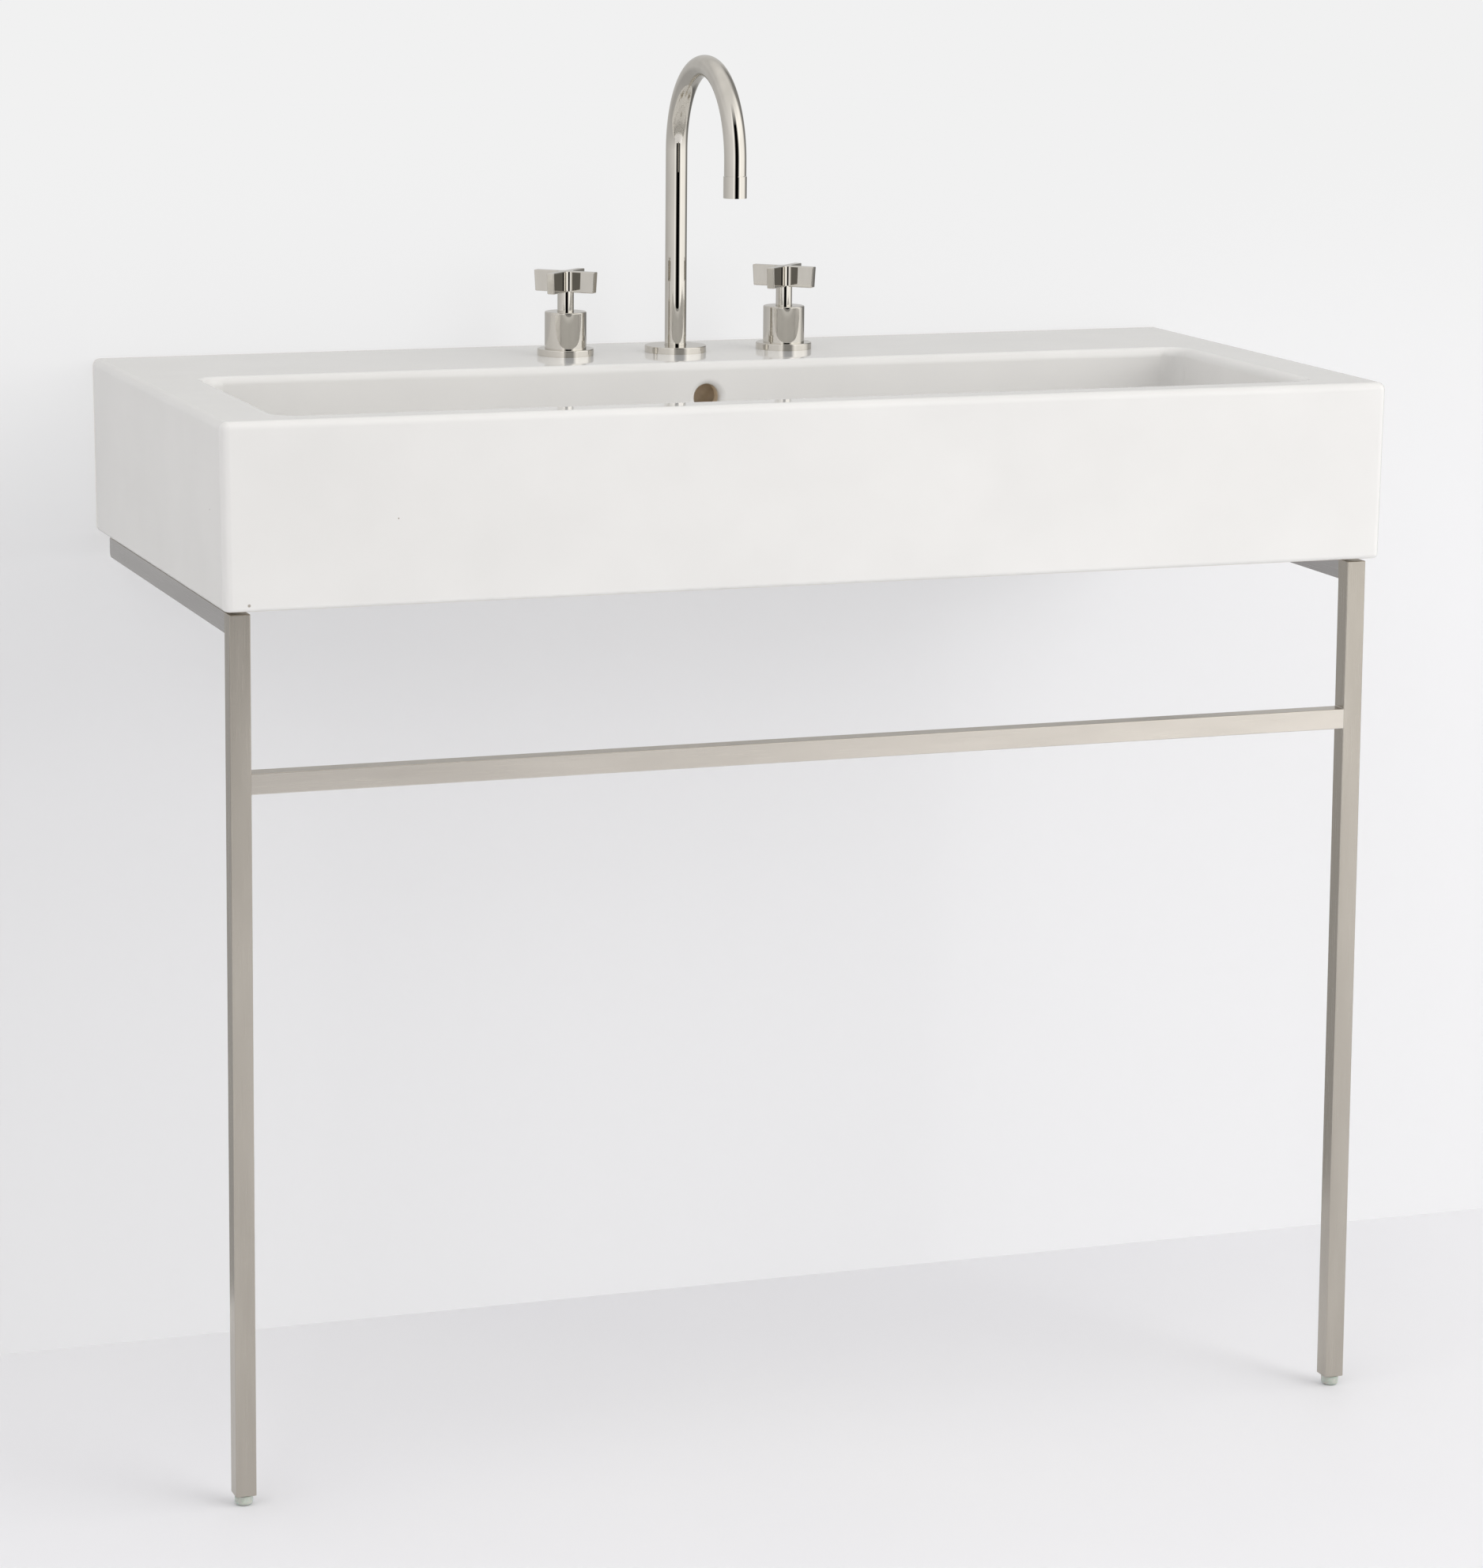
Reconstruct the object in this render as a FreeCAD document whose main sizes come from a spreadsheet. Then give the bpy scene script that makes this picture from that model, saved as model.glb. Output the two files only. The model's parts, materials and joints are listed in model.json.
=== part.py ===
import FreeCAD, Part
import os
import re

import Sketcher

# Console sink: a glazed fireclay basin fixed to the wall, its front carried by a square-tube
# frame with two legs and a towel bar, with a widespread mixer and a push-open drain.
# Frame: x to the right, front towards -y, z up from the floor, origin under the middle of
# the basin. All sizes are millimetres.

SIZES = (
    # The basin.
    ("basin_width", 1007, "outside width at the rim"),
    ("basin_depth", 465, "wall to front face at the rim"),
    ("basin_height", 150, "underside to rim"),
    ("rim_height", 882, "floor to rim"),
    ("side_draft", 2.2, "each side leans in by this much at the underside"),
    ("front_draft", 1, "the front leans in by this much at the underside"),
    ("corner_radius", 7, "upright outer corners"),
    ("edge_radius", 6.5, "outer edge of the rim"),
    ("underside_radius", 3.5, "outer edge of the underside"),
    ("apron_thickness", 27, "front and side skirts"),
    ("back_thickness", 16, "wall side of the basin"),
    ("deck_thickness", 16, "tap deck"),
    # The bowl.
    ("bowl_side_rim", 56.5, "basin side to bowl"),
    ("bowl_front_rim", 34.5, "basin front to bowl"),
    ("bowl_deck", 166.5, "wall to bowl"),
    ("bowl_depth", 105, "rim to the flat floor"),
    ("bowl_lean", 6, "walls lean in by this much at the floor"),
    ("bowl_corner", 18, "upright inner corners at the rim"),
    ("bowl_floor_radius", 20, "hollow between walls and floor"),
    ("bowl_edge_radius", 8, "inner edge of the rim"),
    ("bowl_wall", 14, "bowl wall"),
    ("bowl_floor", 16, "bowl floor"),
    ("dish_radius", 105, "fall towards the drain, outer radius"),
    ("dish_fall", 4, "fall towards the drain"),
    # The overflow: a hole in the bowl's back wall and a duct down to the drain.
    ("overflow_drop", 31, "rim to the middle of the overflow hole"),
    ("overflow_radius", 11.7, "overflow hole"),
    ("overflow_lip", 5, "rounding of the overflow hole"),
    ("duct_half_width", 16, "half the width of the duct"),
    ("duct_gap", 10, "depth of the duct, front to back and top to bottom"),
    ("duct_wall", 10, "ceramic round the duct"),
    # The drain.
    ("drain_hole_radius", 23, "drain hole in the basin"),
    ("drain_boss_radius", 42, "thickening round the drain hole"),
    ("drain_boss_drop", 32, "flange seat to the boss's underside"),
    ("flange_radius", 32, "drain flange"),
    ("flange_thickness", 2.2, "drain flange"),
    ("flange_clearance", 0.5, "round the flange in its seat"),
    ("drain_seal_thickness", 0.8, "seal under the flange"),
    ("drain_thread_radius", 20.95, "drain body, a 1 1/4 inch pipe thread"),
    ("drain_bore_radius", 18, "waterway"),
    ("drain_length", 58, "flange seat to the body's lower end"),
    ("drain_relief", 2, "plain groove between the locknut's and the trap's threads"),
    ("drain_relief_depth", 0.8, "depth of that groove"),
    ("drain_window", 7, "half the height and width of an overflow window"),
    ("drain_washer_thickness", 5, "rubber washer under the boss"),
    ("drain_washer_radius", 33, "rubber washer under the boss"),
    ("drain_nut_height", 8, "drain locknut"),
    ("drain_nut_flats", 58, "drain locknut across flats"),
    ("bridge_drop", 30, "flange seat to the top of the bridge in the waterway"),
    ("bridge_height", 4, "bridge in the waterway"),
    ("bridge_width", 8, "bridge in the waterway"),
    ("post_radius", 5, "click cartridge"),
    ("post_thread_radius", 2.9, "lower end of the click cartridge"),
    ("post_length", 24, "click cartridge above the bridge"),
    ("cap_radius", 29, "drain cap"),
    ("cap_thickness", 4, "drain cap"),
    ("cap_skirt", 20, "sleeve under the cap"),
    ("cap_skirt_wall", 2, "sleeve under the cap"),
    ("cap_seal_radius", 1.2, "section of the cap's seal"),
    # The frame.
    ("tube_size", 17, "square tube, outside"),
    ("tube_wall", 1.5, "square tube, wall"),
    ("tube_corner", 1.6, "square tube, outer corners"),
    ("frame_side_inset", 9.2, "basin side to the outside of the legs"),
    ("frame_front_inset", 14, "basin front to the front of the legs"),
    ("rail_gap", 3.7, "basin underside to the rails, held by spacers"),
    ("rail_end_gap", 18, "rail ends to the wall"),
    ("cap_plate", 6, "end cap behind a rail"),
    ("cap_round", 5, "lower corner of an end cap"),
    ("cap_plug", 12, "end cap inside a rail"),
    ("bar_height", 601, "floor to the top of the towel bar"),
    ("bush_length", 22, "threaded bush in the foot of a leg"),
    ("foot_radius", 7.5, "plastic foot"),
    ("foot_height", 8, "plastic foot"),
    ("foot_gap", 0.6, "foot to the leg's end"),
    ("foot_round", 3.5, "foot's lower edge"),
    ("stud_radius", 4, "foot's stud, M8"),
    ("stud_length", 30, "foot's stud above the foot"),
    ("stud_sink", 5, "foot's stud inside the foot"),
    # The screws between the rails and the basin.
    ("rail_screw_front", 70, "leg's back face to the front screw"),
    ("rail_screw_back", 60, "rail's back end to the back screw"),
    ("rail_screw_radius", 3, "rail screw, M6"),
    ("rail_screw_head", 5.5, "rail screw's head, radius"),
    ("rail_screw_head_height", 4, "rail screw's head"),
    ("rail_screw_reach", 18, "rail screw above the basin's underside"),
    ("rail_screw_play", 0.3, "hole round a screw or its head"),
    ("anchor_radius", 5, "plastic anchor in the basin"),
    ("anchor_length", 20, "plastic anchor in the basin"),
    ("spacer_radius", 7, "rubber spacer"),
    # The mixer, above the deck.
    ("tap_setback", 80, "wall to the taps"),
    ("tap_spread", 203, "hot handle to cold handle"),
    ("tap_hole_radius", 17, "holes in the deck"),
    ("shank_radius", 13.9, "threaded shanks through the deck"),
    ("thread_play", 0.1, "between a thread and what it screws into"),
    ("rose_radius", 24.8, "handle rose"),
    ("rose_height", 6, "handle and spout roses"),
    ("rose_round", 0.9, "rose's upper edge"),
    ("gasket_thickness", 1, "gasket inside a rose"),
    ("gasket_margin", 3, "rose's rim outside its gasket"),
    ("bonnet_radius", 18.3, "bonnet over a valve"),
    ("bonnet_height", 32.3, "bonnet over a valve"),
    ("bonnet_top", 5, "bonnet's top plate"),
    ("bonnet_round", 1, "bonnet's upper edge"),
    ("neck_radius", 7.2, "handle's neck"),
    ("neck_sink", 3, "handle's neck inside the bonnet's top"),
    ("neck_play", 0.3, "bonnet round the handle's neck"),
    ("neck_height", 17, "bonnet's top to the cross bars"),
    ("cross_span", 59, "end to end over the cross bars"),
    ("cross_width", 7, "cross bar"),
    ("cross_height", 18.5, "cross bar"),
    ("cross_lean", 1.2, "bar ends lean in by this much at the bottom"),
    ("cross_fillet", 4.6, "inner corners of the cross"),
    ("cross_round", 0.8, "outer edges of the cross"),
    ("spindle_radius", 4, "valve spindle"),
    ("spindle_play", 0.1, "cartridge round the spindle"),
    ("spindle_low", 2, "deck to the spindle's lower end"),
    ("spindle_in_cross", 11, "spindle inside the cross bars"),
    ("set_screw_radius", 2, "handle's set screw, M4"),
    ("set_screw_drop", 8, "cross bars' underside to the set screw"),
    # The mixer, inside and below the deck.
    ("valve_top", 24, "deck to the valve body's top"),
    ("valve_bore_radius", 10, "cartridge seat"),
    ("valve_seat_drop", 12, "deck to the cartridge's lower end"),
    ("valve_way_radius", 7, "waterway below the cartridge"),
    ("cartridge_flange_radius", 12.5, "cartridge's flange on the valve body"),
    ("cartridge_flange_height", 4, "cartridge's flange on the valve body"),
    ("valve_drop", 72, "deck to the valve body's shoulder"),
    ("inlet_radius", 10.48, "inlet tail, a 1/2 inch pipe thread"),
    ("inlet_length", 14, "inlet tail"),
    ("branch_drop", 60, "deck to the feed tubes"),
    ("branch_radius", 8, "branches for the feed tubes"),
    ("branch_reach", 26, "axis of a valve or tee to its branch's end"),
    ("washer_thickness", 2, "washer under the deck"),
    ("washer_radius", 22, "washer under the deck"),
    ("locknut_height", 10, "locknut under the deck"),
    ("locknut_flats", 38, "locknut across flats"),
    ("feed_radius", 5, "copper feed tube"),
    ("feed_wall", 1, "copper feed tube"),
    ("feed_sink", 6, "feed tube inside each branch"),
    ("feed_play", 0.1, "branch round the feed tube"),
    ("feed_nut_flats", 18, "compression nut across flats"),
    ("feed_nut_length", 10, "compression nut"),
    # The spout.
    ("spout_rose_radius", 27.2, "spout rose"),
    ("spout_radius", 9.5, "spout tube"),
    ("spout_wall", 1.5, "spout tube"),
    ("spout_rise", 178, "deck to the middle of the arch"),
    ("spout_reach", 153.6, "upright to outlet, centre to centre"),
    ("spout_start", 1, "deck to the spout tube's lower end"),
    ("outlet_height", 147, "deck to the outlet"),
    ("nozzle_radius", 10, "aerator housing"),
    ("nozzle_height", 18.5, "aerator housing"),
    ("nozzle_bore_radius", 8.3, "aerator housing"),
    ("nozzle_bore_depth", 12, "aerator housing"),
    ("nozzle_thread", 7, "aerator housing inside the spout tube"),
    ("nozzle_way_radius", 5, "waterway above the aerator"),
    ("aerator_inset", 1, "outlet to the aerator's face"),
    ("aerator_washer_height", 1.6, "washer above the aerator"),
    ("swivel_play", 0.1, "shank round the spout's spigot"),
    ("swivel_depth", 26, "deck to the swivel bore's lower end"),
    ("shank_rise", 4.5, "deck to the spout shank's top"),
    ("shank_drop", 56, "deck to the spout shank's lower end"),
    ("chamber_radius", 11.5, "spout shank below the swivel"),
    ("spigot_way_radius", 5.5, "waterway in the spout's spigot"),
    ("spigot_rise", 14, "spigot inside the spout tube"),
    ("spigot_drop", 30, "deck to the spigot's lower end"),
    ("ring_section", 1.1, "section radius of the sealing rings"),
    ("ring_first", 8, "deck to the upper sealing ring"),
    ("ring_pitch", 8, "between the sealing rings"),
    ("clip_thickness", 1.2, "circlip below the swivel"),
    ("clip_play", 0.3, "circlip to the shank's shoulder"),
    ("clip_groove", 1.6, "depth of the circlip's groove"),
    ("tee_radius", 17, "tee below the spout"),
    ("tee_rise", 14, "feed tubes' axis to the tee's top"),
    ("tee_drop", 12, "feed tubes' axis to the tee's underside"),
    ("tee_floor", 4, "tee's closed end"),
    # The fixing to the wall.
    ("wall_bolt_spread", 280, "between the wall bolts"),
    ("wall_bolt_drop", 50, "rim to the wall bolts"),
    ("wall_bolt_hole", 7, "wall bolt hole, radius"),
)
NAMES = {name for name, _, _ in SIZES}

# Levels and places that several pieces share, as formulas of the sizes above.
WALL_Y = "(basin_depth / 2)"
FRONT_Y = "(-basin_depth / 2)"
UNDERSIDE = "(rim_height - basin_height)"
HALF_WIDTH = "(basin_width / 2)"
TAP_Y = f"({WALL_Y} - tap_setback)"
TAP_X = "(tap_spread / 2)"
BOWL_X = f"({HALF_WIDTH} - bowl_side_rim)"
BOWL_BACK = f"({WALL_Y} - bowl_deck)"
BOWL_FRONT = f"({FRONT_Y} + bowl_front_rim)"
DRAIN_Y = f"(({BOWL_BACK} + {BOWL_FRONT}) / 2)"
FLOOR_Z = "(basin_height - bowl_depth)"
SEAT_Z = f"({FLOOR_Z} - dish_fall - drain_seal_thickness - flange_thickness)"
DRAIN_SEAT = f"({UNDERSIDE} + {SEAT_Z})"
RAIL_TOP = f"({UNDERSIDE} - rail_gap)"
FRAME_X = f"({HALF_WIDTH} - frame_side_inset - tube_size / 2)"
LEG_Y = f"({FRONT_Y} + frame_front_inset + tube_size / 2)"
LEG_FOOT = "(foot_height + foot_gap)"
RAIL_FRONT = f"({LEG_Y} + tube_size / 2)"
RAIL_BACK = f"({WALL_Y} - rail_end_gap - cap_plate)"
SCREW_YS = (f"({RAIL_FRONT} + rail_screw_front)", f"({RAIL_BACK} - rail_screw_back)")
TUBE_INSIDE = "(tube_size - 2 * tube_wall)"
BONNET_TOP = "(rose_height + bonnet_height)"
CROSS_LOW = f"({BONNET_TOP} + neck_height)"
FEED_END = f"({TAP_X} - branch_reach)"
SWIVEL_BORE = "(spout_radius + swivel_play)"
THREAD_BORE = "(shank_radius + thread_play)"

doc = FreeCAD.newDocument("ConsoleSink")
sheet = doc.addObject("Spreadsheet::Sheet", "Sizes")
for row, (name, value, note) in enumerate(SIZES, start=1):
    sheet.set(f"A{row}", str(value))
    sheet.setAlias(f"A{row}", name)
    sheet.set(f"B{row}", note)
doc.recompute()


def bind(formula):
    """Names each size in a formula as the document reads it."""
    return re.sub(r"[a-z][a-z0-9_]*", lambda m: f"Sizes.{m[0]}" if m[0] in NAMES else m[0], formula)


def value_of(formula):
    """The number that a formula gives with the sizes as they are."""
    return float(sheet.evalExpression(bind(formula)))


def new_body(label):
    """An empty body for one sub-part; a group of like pieces may hold several solids."""
    body = doc.addObject("PartDesign::Body", label)
    body.AllowCompound = True
    return body


def place(part, x="0", y="0", z="0", turn=0):
    """Puts a sub-part at its place, turned about the upright axis by degrees."""
    part.Placement = FreeCAD.Placement(
        FreeCAD.Vector(), FreeCAD.Rotation(FreeCAD.Vector(0, 0, 1), turn)
    )
    for axis, formula in zip("xyz", (x, y, z)):
        part.setExpression(f"Placement.Base.{axis}", bind(formula))


def new_sketch(body, plane, lift="0"):
    """A sketch on one of the body's own planes, lifted along the plane's normal."""
    sketch = body.newObject("Sketcher::SketchObject", f"{body.Name}_{plane}")
    support = next(f for f in body.Origin.OriginFeatures if f.Role == f"{plane}_Plane")
    sketch.AttachmentSupport = [(support, "")]
    sketch.MapMode = "FlatFace"
    sketch.setExpression("AttachmentOffset.Base.z", bind(lift))
    return sketch


def fix_point(sketch, edge, end, x=None, y=None):
    """Ties one point of an edge to a place given by formulas."""
    given = [pair for pair in (("DistanceX", x), ("DistanceY", y)) if pair[1] is not None]
    for kind, formula in given:
        where = Sketcher.Constraint(kind, -1, 1, edge, end, value_of(formula))
        index = sketch.addConstraint(where)
        sketch.setExpression(f"Constraints[{index}]", bind(formula))


def outline(sketch, corners):
    """A closed outline of straight sides through the corners."""
    first = sketch.GeometryCount
    spots = [FreeCAD.Vector(value_of(x), value_of(y), 0) for x, y in corners]
    for here, there in zip(spots, spots[1:] + spots[:1]):
        sketch.addGeometry(Part.LineSegment(here, there), False)
    for step in range(len(corners)):
        after = first + (step + 1) % len(corners)
        sketch.addConstraint(Sketcher.Constraint("Coincident", first + step, 2, after, 1))
    for step, (x, y) in enumerate(corners):
        fix_point(sketch, first + step, 1, x, y)


def circle(sketch, radius, x="0", y="0"):
    """A circle about a place."""
    centre = FreeCAD.Vector(value_of(x), value_of(y), 0)
    normal = FreeCAD.Vector(0, 0, 1)
    edge = sketch.addGeometry(Part.Circle(centre, normal, value_of(radius)), False)
    index = sketch.addConstraint(Sketcher.Constraint("Radius", edge, value_of(radius)))
    sketch.setExpression(f"Constraints[{index}]", bind(radius))
    fix_point(sketch, edge, 3, x, y)


def oblong(sketch, left, right, low, high, radius=None):
    """A rectangle, with round corners where a radius is given."""
    if radius is None:
        outline(sketch, ((left, low), (right, low), (right, high), (left, high)))
        return
    sides = (
        ((f"{left} + {radius}", low), (f"{right} - {radius}", low)),
        ((right, f"{low} + {radius}"), (right, f"{high} - {radius}")),
        ((f"{right} - {radius}", high), (f"{left} + {radius}", high)),
        ((left, f"{high} - {radius}"), (left, f"{low} + {radius}")),
    )
    first = sketch.GeometryCount
    spots = [[FreeCAD.Vector(value_of(x), value_of(y), 0) for x, y in side] for side in sides]
    for start, end in spots:
        sketch.addGeometry(Part.LineSegment(start, end), False)
    for index, side in enumerate(sides):
        for end, (x, y) in enumerate(side, start=1):
            fix_point(sketch, first + index, end, x, y)
    middle = (spots[0][0] + spots[2][0]) * 0.5
    for index in range(4):
        start = spots[index][1]
        end = spots[(index + 1) % 4][0]
        corner = FreeCAD.Vector(*((start.x, end.y, 0) if index % 2 else (end.x, start.y, 0)))
        towards = (middle - corner).normalize()
        bulge = corner + towards * (corner.distanceToPoint(start) * (2 ** 0.5 - 1))
        arc = sketch.addGeometry(Part.Arc(start, bulge, end), False)
        sketch.addConstraint(Sketcher.Constraint("Coincident", arc, 1, first + index, 2))
        after = first + (index + 1) % 4
        sketch.addConstraint(Sketcher.Constraint("Coincident", arc, 2, after, 1))
        size = sketch.addConstraint(Sketcher.Constraint("Radius", arc, value_of(radius)))
        sketch.setExpression(f"Constraints[{size}]", bind(radius))


def hexagon(sketch, flats, x="0", y="0"):
    """A hexagon by its size across flats, two of them square to the sketch's x axis."""
    half = f"({flats}) / 2"
    tip = f"({flats}) / sqrt(3)"
    turns = ((half, f"-{tip} / 2"), (half, f"{tip} / 2"), ("0", tip))
    turns += ((f"-{half}", f"{tip} / 2"), (f"-{half}", f"-{tip} / 2"), ("0", f"-{tip}"))
    outline(sketch, [(f"{x} + {dx}", f"{y} + {dy}") for dx, dy in turns])


def pad(sketch, length, down=False):
    """Pads a sketch along its plane's normal, or against it."""
    body = sketch.getParentGeoFeatureGroup()
    feature = body.newObject("PartDesign::Pad", f"{sketch.Name}_pad")
    feature.Profile = sketch
    feature.Reversed = down
    feature.setExpression("Length", bind(length))
    return feature


def pocket(sketch, length, up=False):
    """Cuts a sketch against its plane's normal, or along it, and checks that it cuts."""
    body = sketch.getParentGeoFeatureGroup()
    doc.recompute()
    before = body.Shape.Volume
    feature = body.newObject("PartDesign::Pocket", f"{sketch.Name}_pocket")
    feature.Profile = sketch
    feature.Reversed = up
    feature.setExpression("Length", bind(length))
    doc.recompute()
    if body.Shape.Volume >= before:
        raise RuntimeError(f"{feature.Name} cuts nothing from {body.Label}")
    return feature


def lean(body, inset, height, chosen, flat=None, hollow=False):
    """Tilts faces outwards as they rise from a flat face, or from the body's own base."""
    doc.recompute()
    tip = body.Tip
    faces = list(enumerate(tip.Shape.Faces, start=1))
    feature = body.newObject("PartDesign::Draft", f"{body.Name}_lean")
    feature.Base = (tip, [f"Face{i}" for i, face in faces if chosen(face)])
    if flat is None:
        plane = next(f for f in body.Origin.OriginFeatures if f.Role == "XY_Plane")
        feature.NeutralPlane = (plane, [""])
    else:
        feature.NeutralPlane = (tip, [f"Face{i}" for i, face in faces if flat(face)])
    feature.Reversed = not hollow
    feature.setExpression("Angle", bind(f"atan({inset} / {height})"))
    doc.recompute()
    return feature


def turn_section(body, sections, cut=False, lift="0"):
    """Turns closed sections, drawn as radius and height, about the body's upright axis."""
    sketch = new_sketch(body, "XZ", lift)
    for corners in sections:
        outline(sketch, corners)
    kind = "Groove" if cut else "Revolution"
    feature = body.newObject(f"PartDesign::{kind}", f"{sketch.Name}_{kind.lower()}")
    feature.Profile = sketch
    feature.ReferenceAxis = (sketch, ["V_Axis"])
    feature.Angle = 360
    return feature


def turned(label, corners):
    """A turned sub-part from its half section."""
    body = new_body(label)
    turn_section(body, [corners])
    return body


def ring(label, inner, outer, low, high):
    """A plain ring between two radii and two heights."""
    return turned(label, ((inner, low), (outer, low), (outer, high), (inner, high)))


def round_edges(body, radius, chosen):
    """Rounds those edges of a body that the test chooses."""
    doc.recompute()
    tip = body.Tip
    names = [f"Edge{i}" for i, edge in enumerate(tip.Shape.Edges, start=1) if chosen(edge)]
    feature = body.newObject("PartDesign::Fillet", f"{body.Name}_rounding")
    feature.Base = (tip, names)
    feature.setExpression("Radius", bind(radius))
    doc.recompute()


def is_round(edge, radius, height):
    """True for a full or part circle of this radius that lies flat at this height."""
    curve = edge.Curve
    level = abs(edge.CenterOfMass.z - value_of(height)) < 1e-4
    return level and hasattr(curve, "Radius") and abs(curve.Radius - value_of(radius)) < 1e-4


def lies_at(edge, height):
    """True for an edge that lies flat at this height."""
    box = edge.BoundBox
    return box.ZLength < 1e-4 and abs(box.ZMin - value_of(height)) < 1e-4


def is_upright(edge):
    """True for an edge that runs from low to high, straight or nearly so."""
    box = edge.BoundBox
    return box.ZLength > 3 * max(box.XLength, box.YLength)


# ---------------------------------------------------------------------------- basin

def make_basin():
    """The basin in one casting, drawn from its underside up."""
    body = new_body("basin")
    wall, front = WALL_Y, FRONT_Y
    base = new_sketch(body, "XY")
    inset_x = f"({HALF_WIDTH} - side_draft)"
    oblong(base, f"-{inset_x}", inset_x, f"({front} + front_draft)", wall)
    pad(base, "basin_height")
    lean(body, "side_draft", "basin_height", lambda f: abs(f.normalAt(0, 0).x) > 0.9)
    lean(body, "front_draft", "basin_height", lambda f: f.normalAt(0, 0).y < -0.9)
    back = value_of(wall)
    round_edges(body, "corner_radius", lambda e: is_upright(e) and e.BoundBox.YMax < 0)

    def outer(edge, height):
        return lies_at(edge, height) and edge.BoundBox.YMin < back - 1e-4

    round_edges(body, "edge_radius", lambda e: outer(e, "basin_height"))
    round_edges(body, "underside_radius", lambda e: outer(e, "0"))

    # The bowl, its rounded floor and rim, and the fall towards the drain.
    bowl = new_sketch(body, "XY", "basin_height")
    floor_x = f"({BOWL_X} - bowl_lean)"
    oblong(
        bowl, f"-{floor_x}", floor_x, f"({BOWL_FRONT} + bowl_lean)",
        f"({BOWL_BACK} - bowl_lean)", "(bowl_corner - bowl_lean)",
    )
    pocket(bowl, "bowl_depth")
    floor_level = value_of(FLOOR_Z)

    def bowl_wall(face):
        box = face.BoundBox
        reach = abs(box.YMin - value_of(f"{BOWL_FRONT} + bowl_lean")) < 1e-4
        reach = reach or abs(box.YMax - value_of(f"{BOWL_BACK} - bowl_lean")) < 1e-4
        reach = reach or abs(max(-box.XMin, box.XMax) - value_of(floor_x)) < 1e-4
        return reach and abs(box.ZMin - floor_level) < 1e-4 and box.ZLength > 1

    def bowl_bottom(face):
        return face.BoundBox.ZLength < 1e-4 and abs(face.BoundBox.ZMin - floor_level) < 1e-4

    lean(body, "bowl_lean", "bowl_depth", bowl_wall, flat=bowl_bottom, hollow=True)
    round_edges(body, "bowl_floor_radius", lambda e: lies_at(e, FLOOR_Z))

    def inner(edge):
        box = edge.BoundBox
        inside = box.YMax < value_of(BOWL_BACK) + 1 and box.YMin > value_of(BOWL_FRONT) - 1
        return lies_at(edge, "basin_height") and inside and abs(box.XMin) < value_of(BOWL_X) + 1

    round_edges(body, "bowl_edge_radius", inner)
    dish_low = f"({FLOOR_Z} - dish_fall)"
    seat = "(flange_radius + flange_clearance)"
    dish = (
        ("0", dish_low), (seat, dish_low), ("dish_radius", FLOOR_Z),
        ("dish_radius", f"({FLOOR_Z} + 1)"), ("0", f"({FLOOR_Z} + 1)"),
    )
    turn_section(body, [dish], cut=True, lift=f"-{DRAIN_Y}")

    # The hollow underside: below the bowl, behind it, and inside each side skirt.
    skirt_x = f"({HALF_WIDTH} - side_draft - apron_thickness)"
    skirt_front = f"({front} + front_draft + apron_thickness)"
    inner_back = f"({wall} - back_thickness)"
    shell_back = f"({BOWL_BACK} + bowl_wall)"
    shell_x = f"({BOWL_X} + bowl_wall)"
    top = "(basin_height - deck_thickness)"
    hollow = new_sketch(body, "XY")
    oblong(hollow, f"-{skirt_x}", skirt_x, skirt_front, inner_back)
    pocket(hollow, f"{FLOOR_Z} - bowl_floor", up=True)
    behind = new_sketch(body, "XY")
    oblong(behind, f"-{skirt_x}", skirt_x, shell_back, inner_back)
    pocket(behind, top, up=True)
    for side in ("-", ""):
        beside = new_sketch(body, "XY")
        edges = (f"-{skirt_x}", f"-{shell_x}") if side else (shell_x, skirt_x)
        oblong(beside, *edges, skirt_front, shell_back)
        pocket(beside, top, up=True)

    # The boss round the drain hole, and the overflow duct behind and below the bowl.
    boss_low = f"({SEAT_Z} - drain_boss_drop)"
    boss_high = f"({FLOOR_Z} - bowl_floor + 1)"
    duct_x = "(duct_half_width + duct_wall)"
    duct_back = f"({shell_back} + 2 + duct_gap)"
    boss = new_sketch(body, "XY", boss_low)
    circle(boss, "drain_boss_radius", "0", DRAIN_Y)
    pad(boss, f"{boss_high} - {boss_low}")
    trunk = new_sketch(body, "XY", boss_low)
    oblong(trunk, f"-{duct_x}", duct_x, DRAIN_Y, f"({duct_back} + duct_wall)")
    pad(trunk, f"{boss_high} - {boss_low}")
    riser = new_sketch(body, "XY", boss_low)
    oblong(riser, f"-{duct_x}", duct_x, f"({shell_back} - 1)", f"({duct_back} + duct_wall)")
    pad(riser, f"{top} - {boss_low} + 1")
    duct_low = f"({boss_low} + duct_wall)"
    across = new_sketch(body, "XY", duct_low)
    oblong(across, "-duct_half_width", "duct_half_width", DRAIN_Y, duct_back)
    pocket(across, "duct_gap", up=True)
    hole_z = "(basin_height - overflow_drop)"
    upward = new_sketch(body, "XY", duct_low)
    oblong(upward, "-duct_half_width", "duct_half_width", f"({duct_back} - duct_gap)", duct_back)
    pocket(upward, f"{hole_z} + overflow_radius + 2 - {duct_low}", up=True)
    hole = new_sketch(body, "XZ", f"-({duct_back} - duct_gap / 2)")
    circle(hole, "overflow_radius", "0", hole_z)
    pocket(hole, f"{duct_back} - duct_gap / 2 - {DRAIN_Y}", up=True)

    def lip(edge):
        box = edge.BoundBox
        middle = abs(box.Center.z - value_of(hole_z)) < 1 and abs(box.Center.x) < 1
        across_hole = abs(box.XLength - 2 * value_of("overflow_radius")) < 0.1
        return middle and across_hole and box.YMax < value_of(f"{BOWL_BACK} + 1")

    round_edges(body, "overflow_lip", lip)

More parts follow.
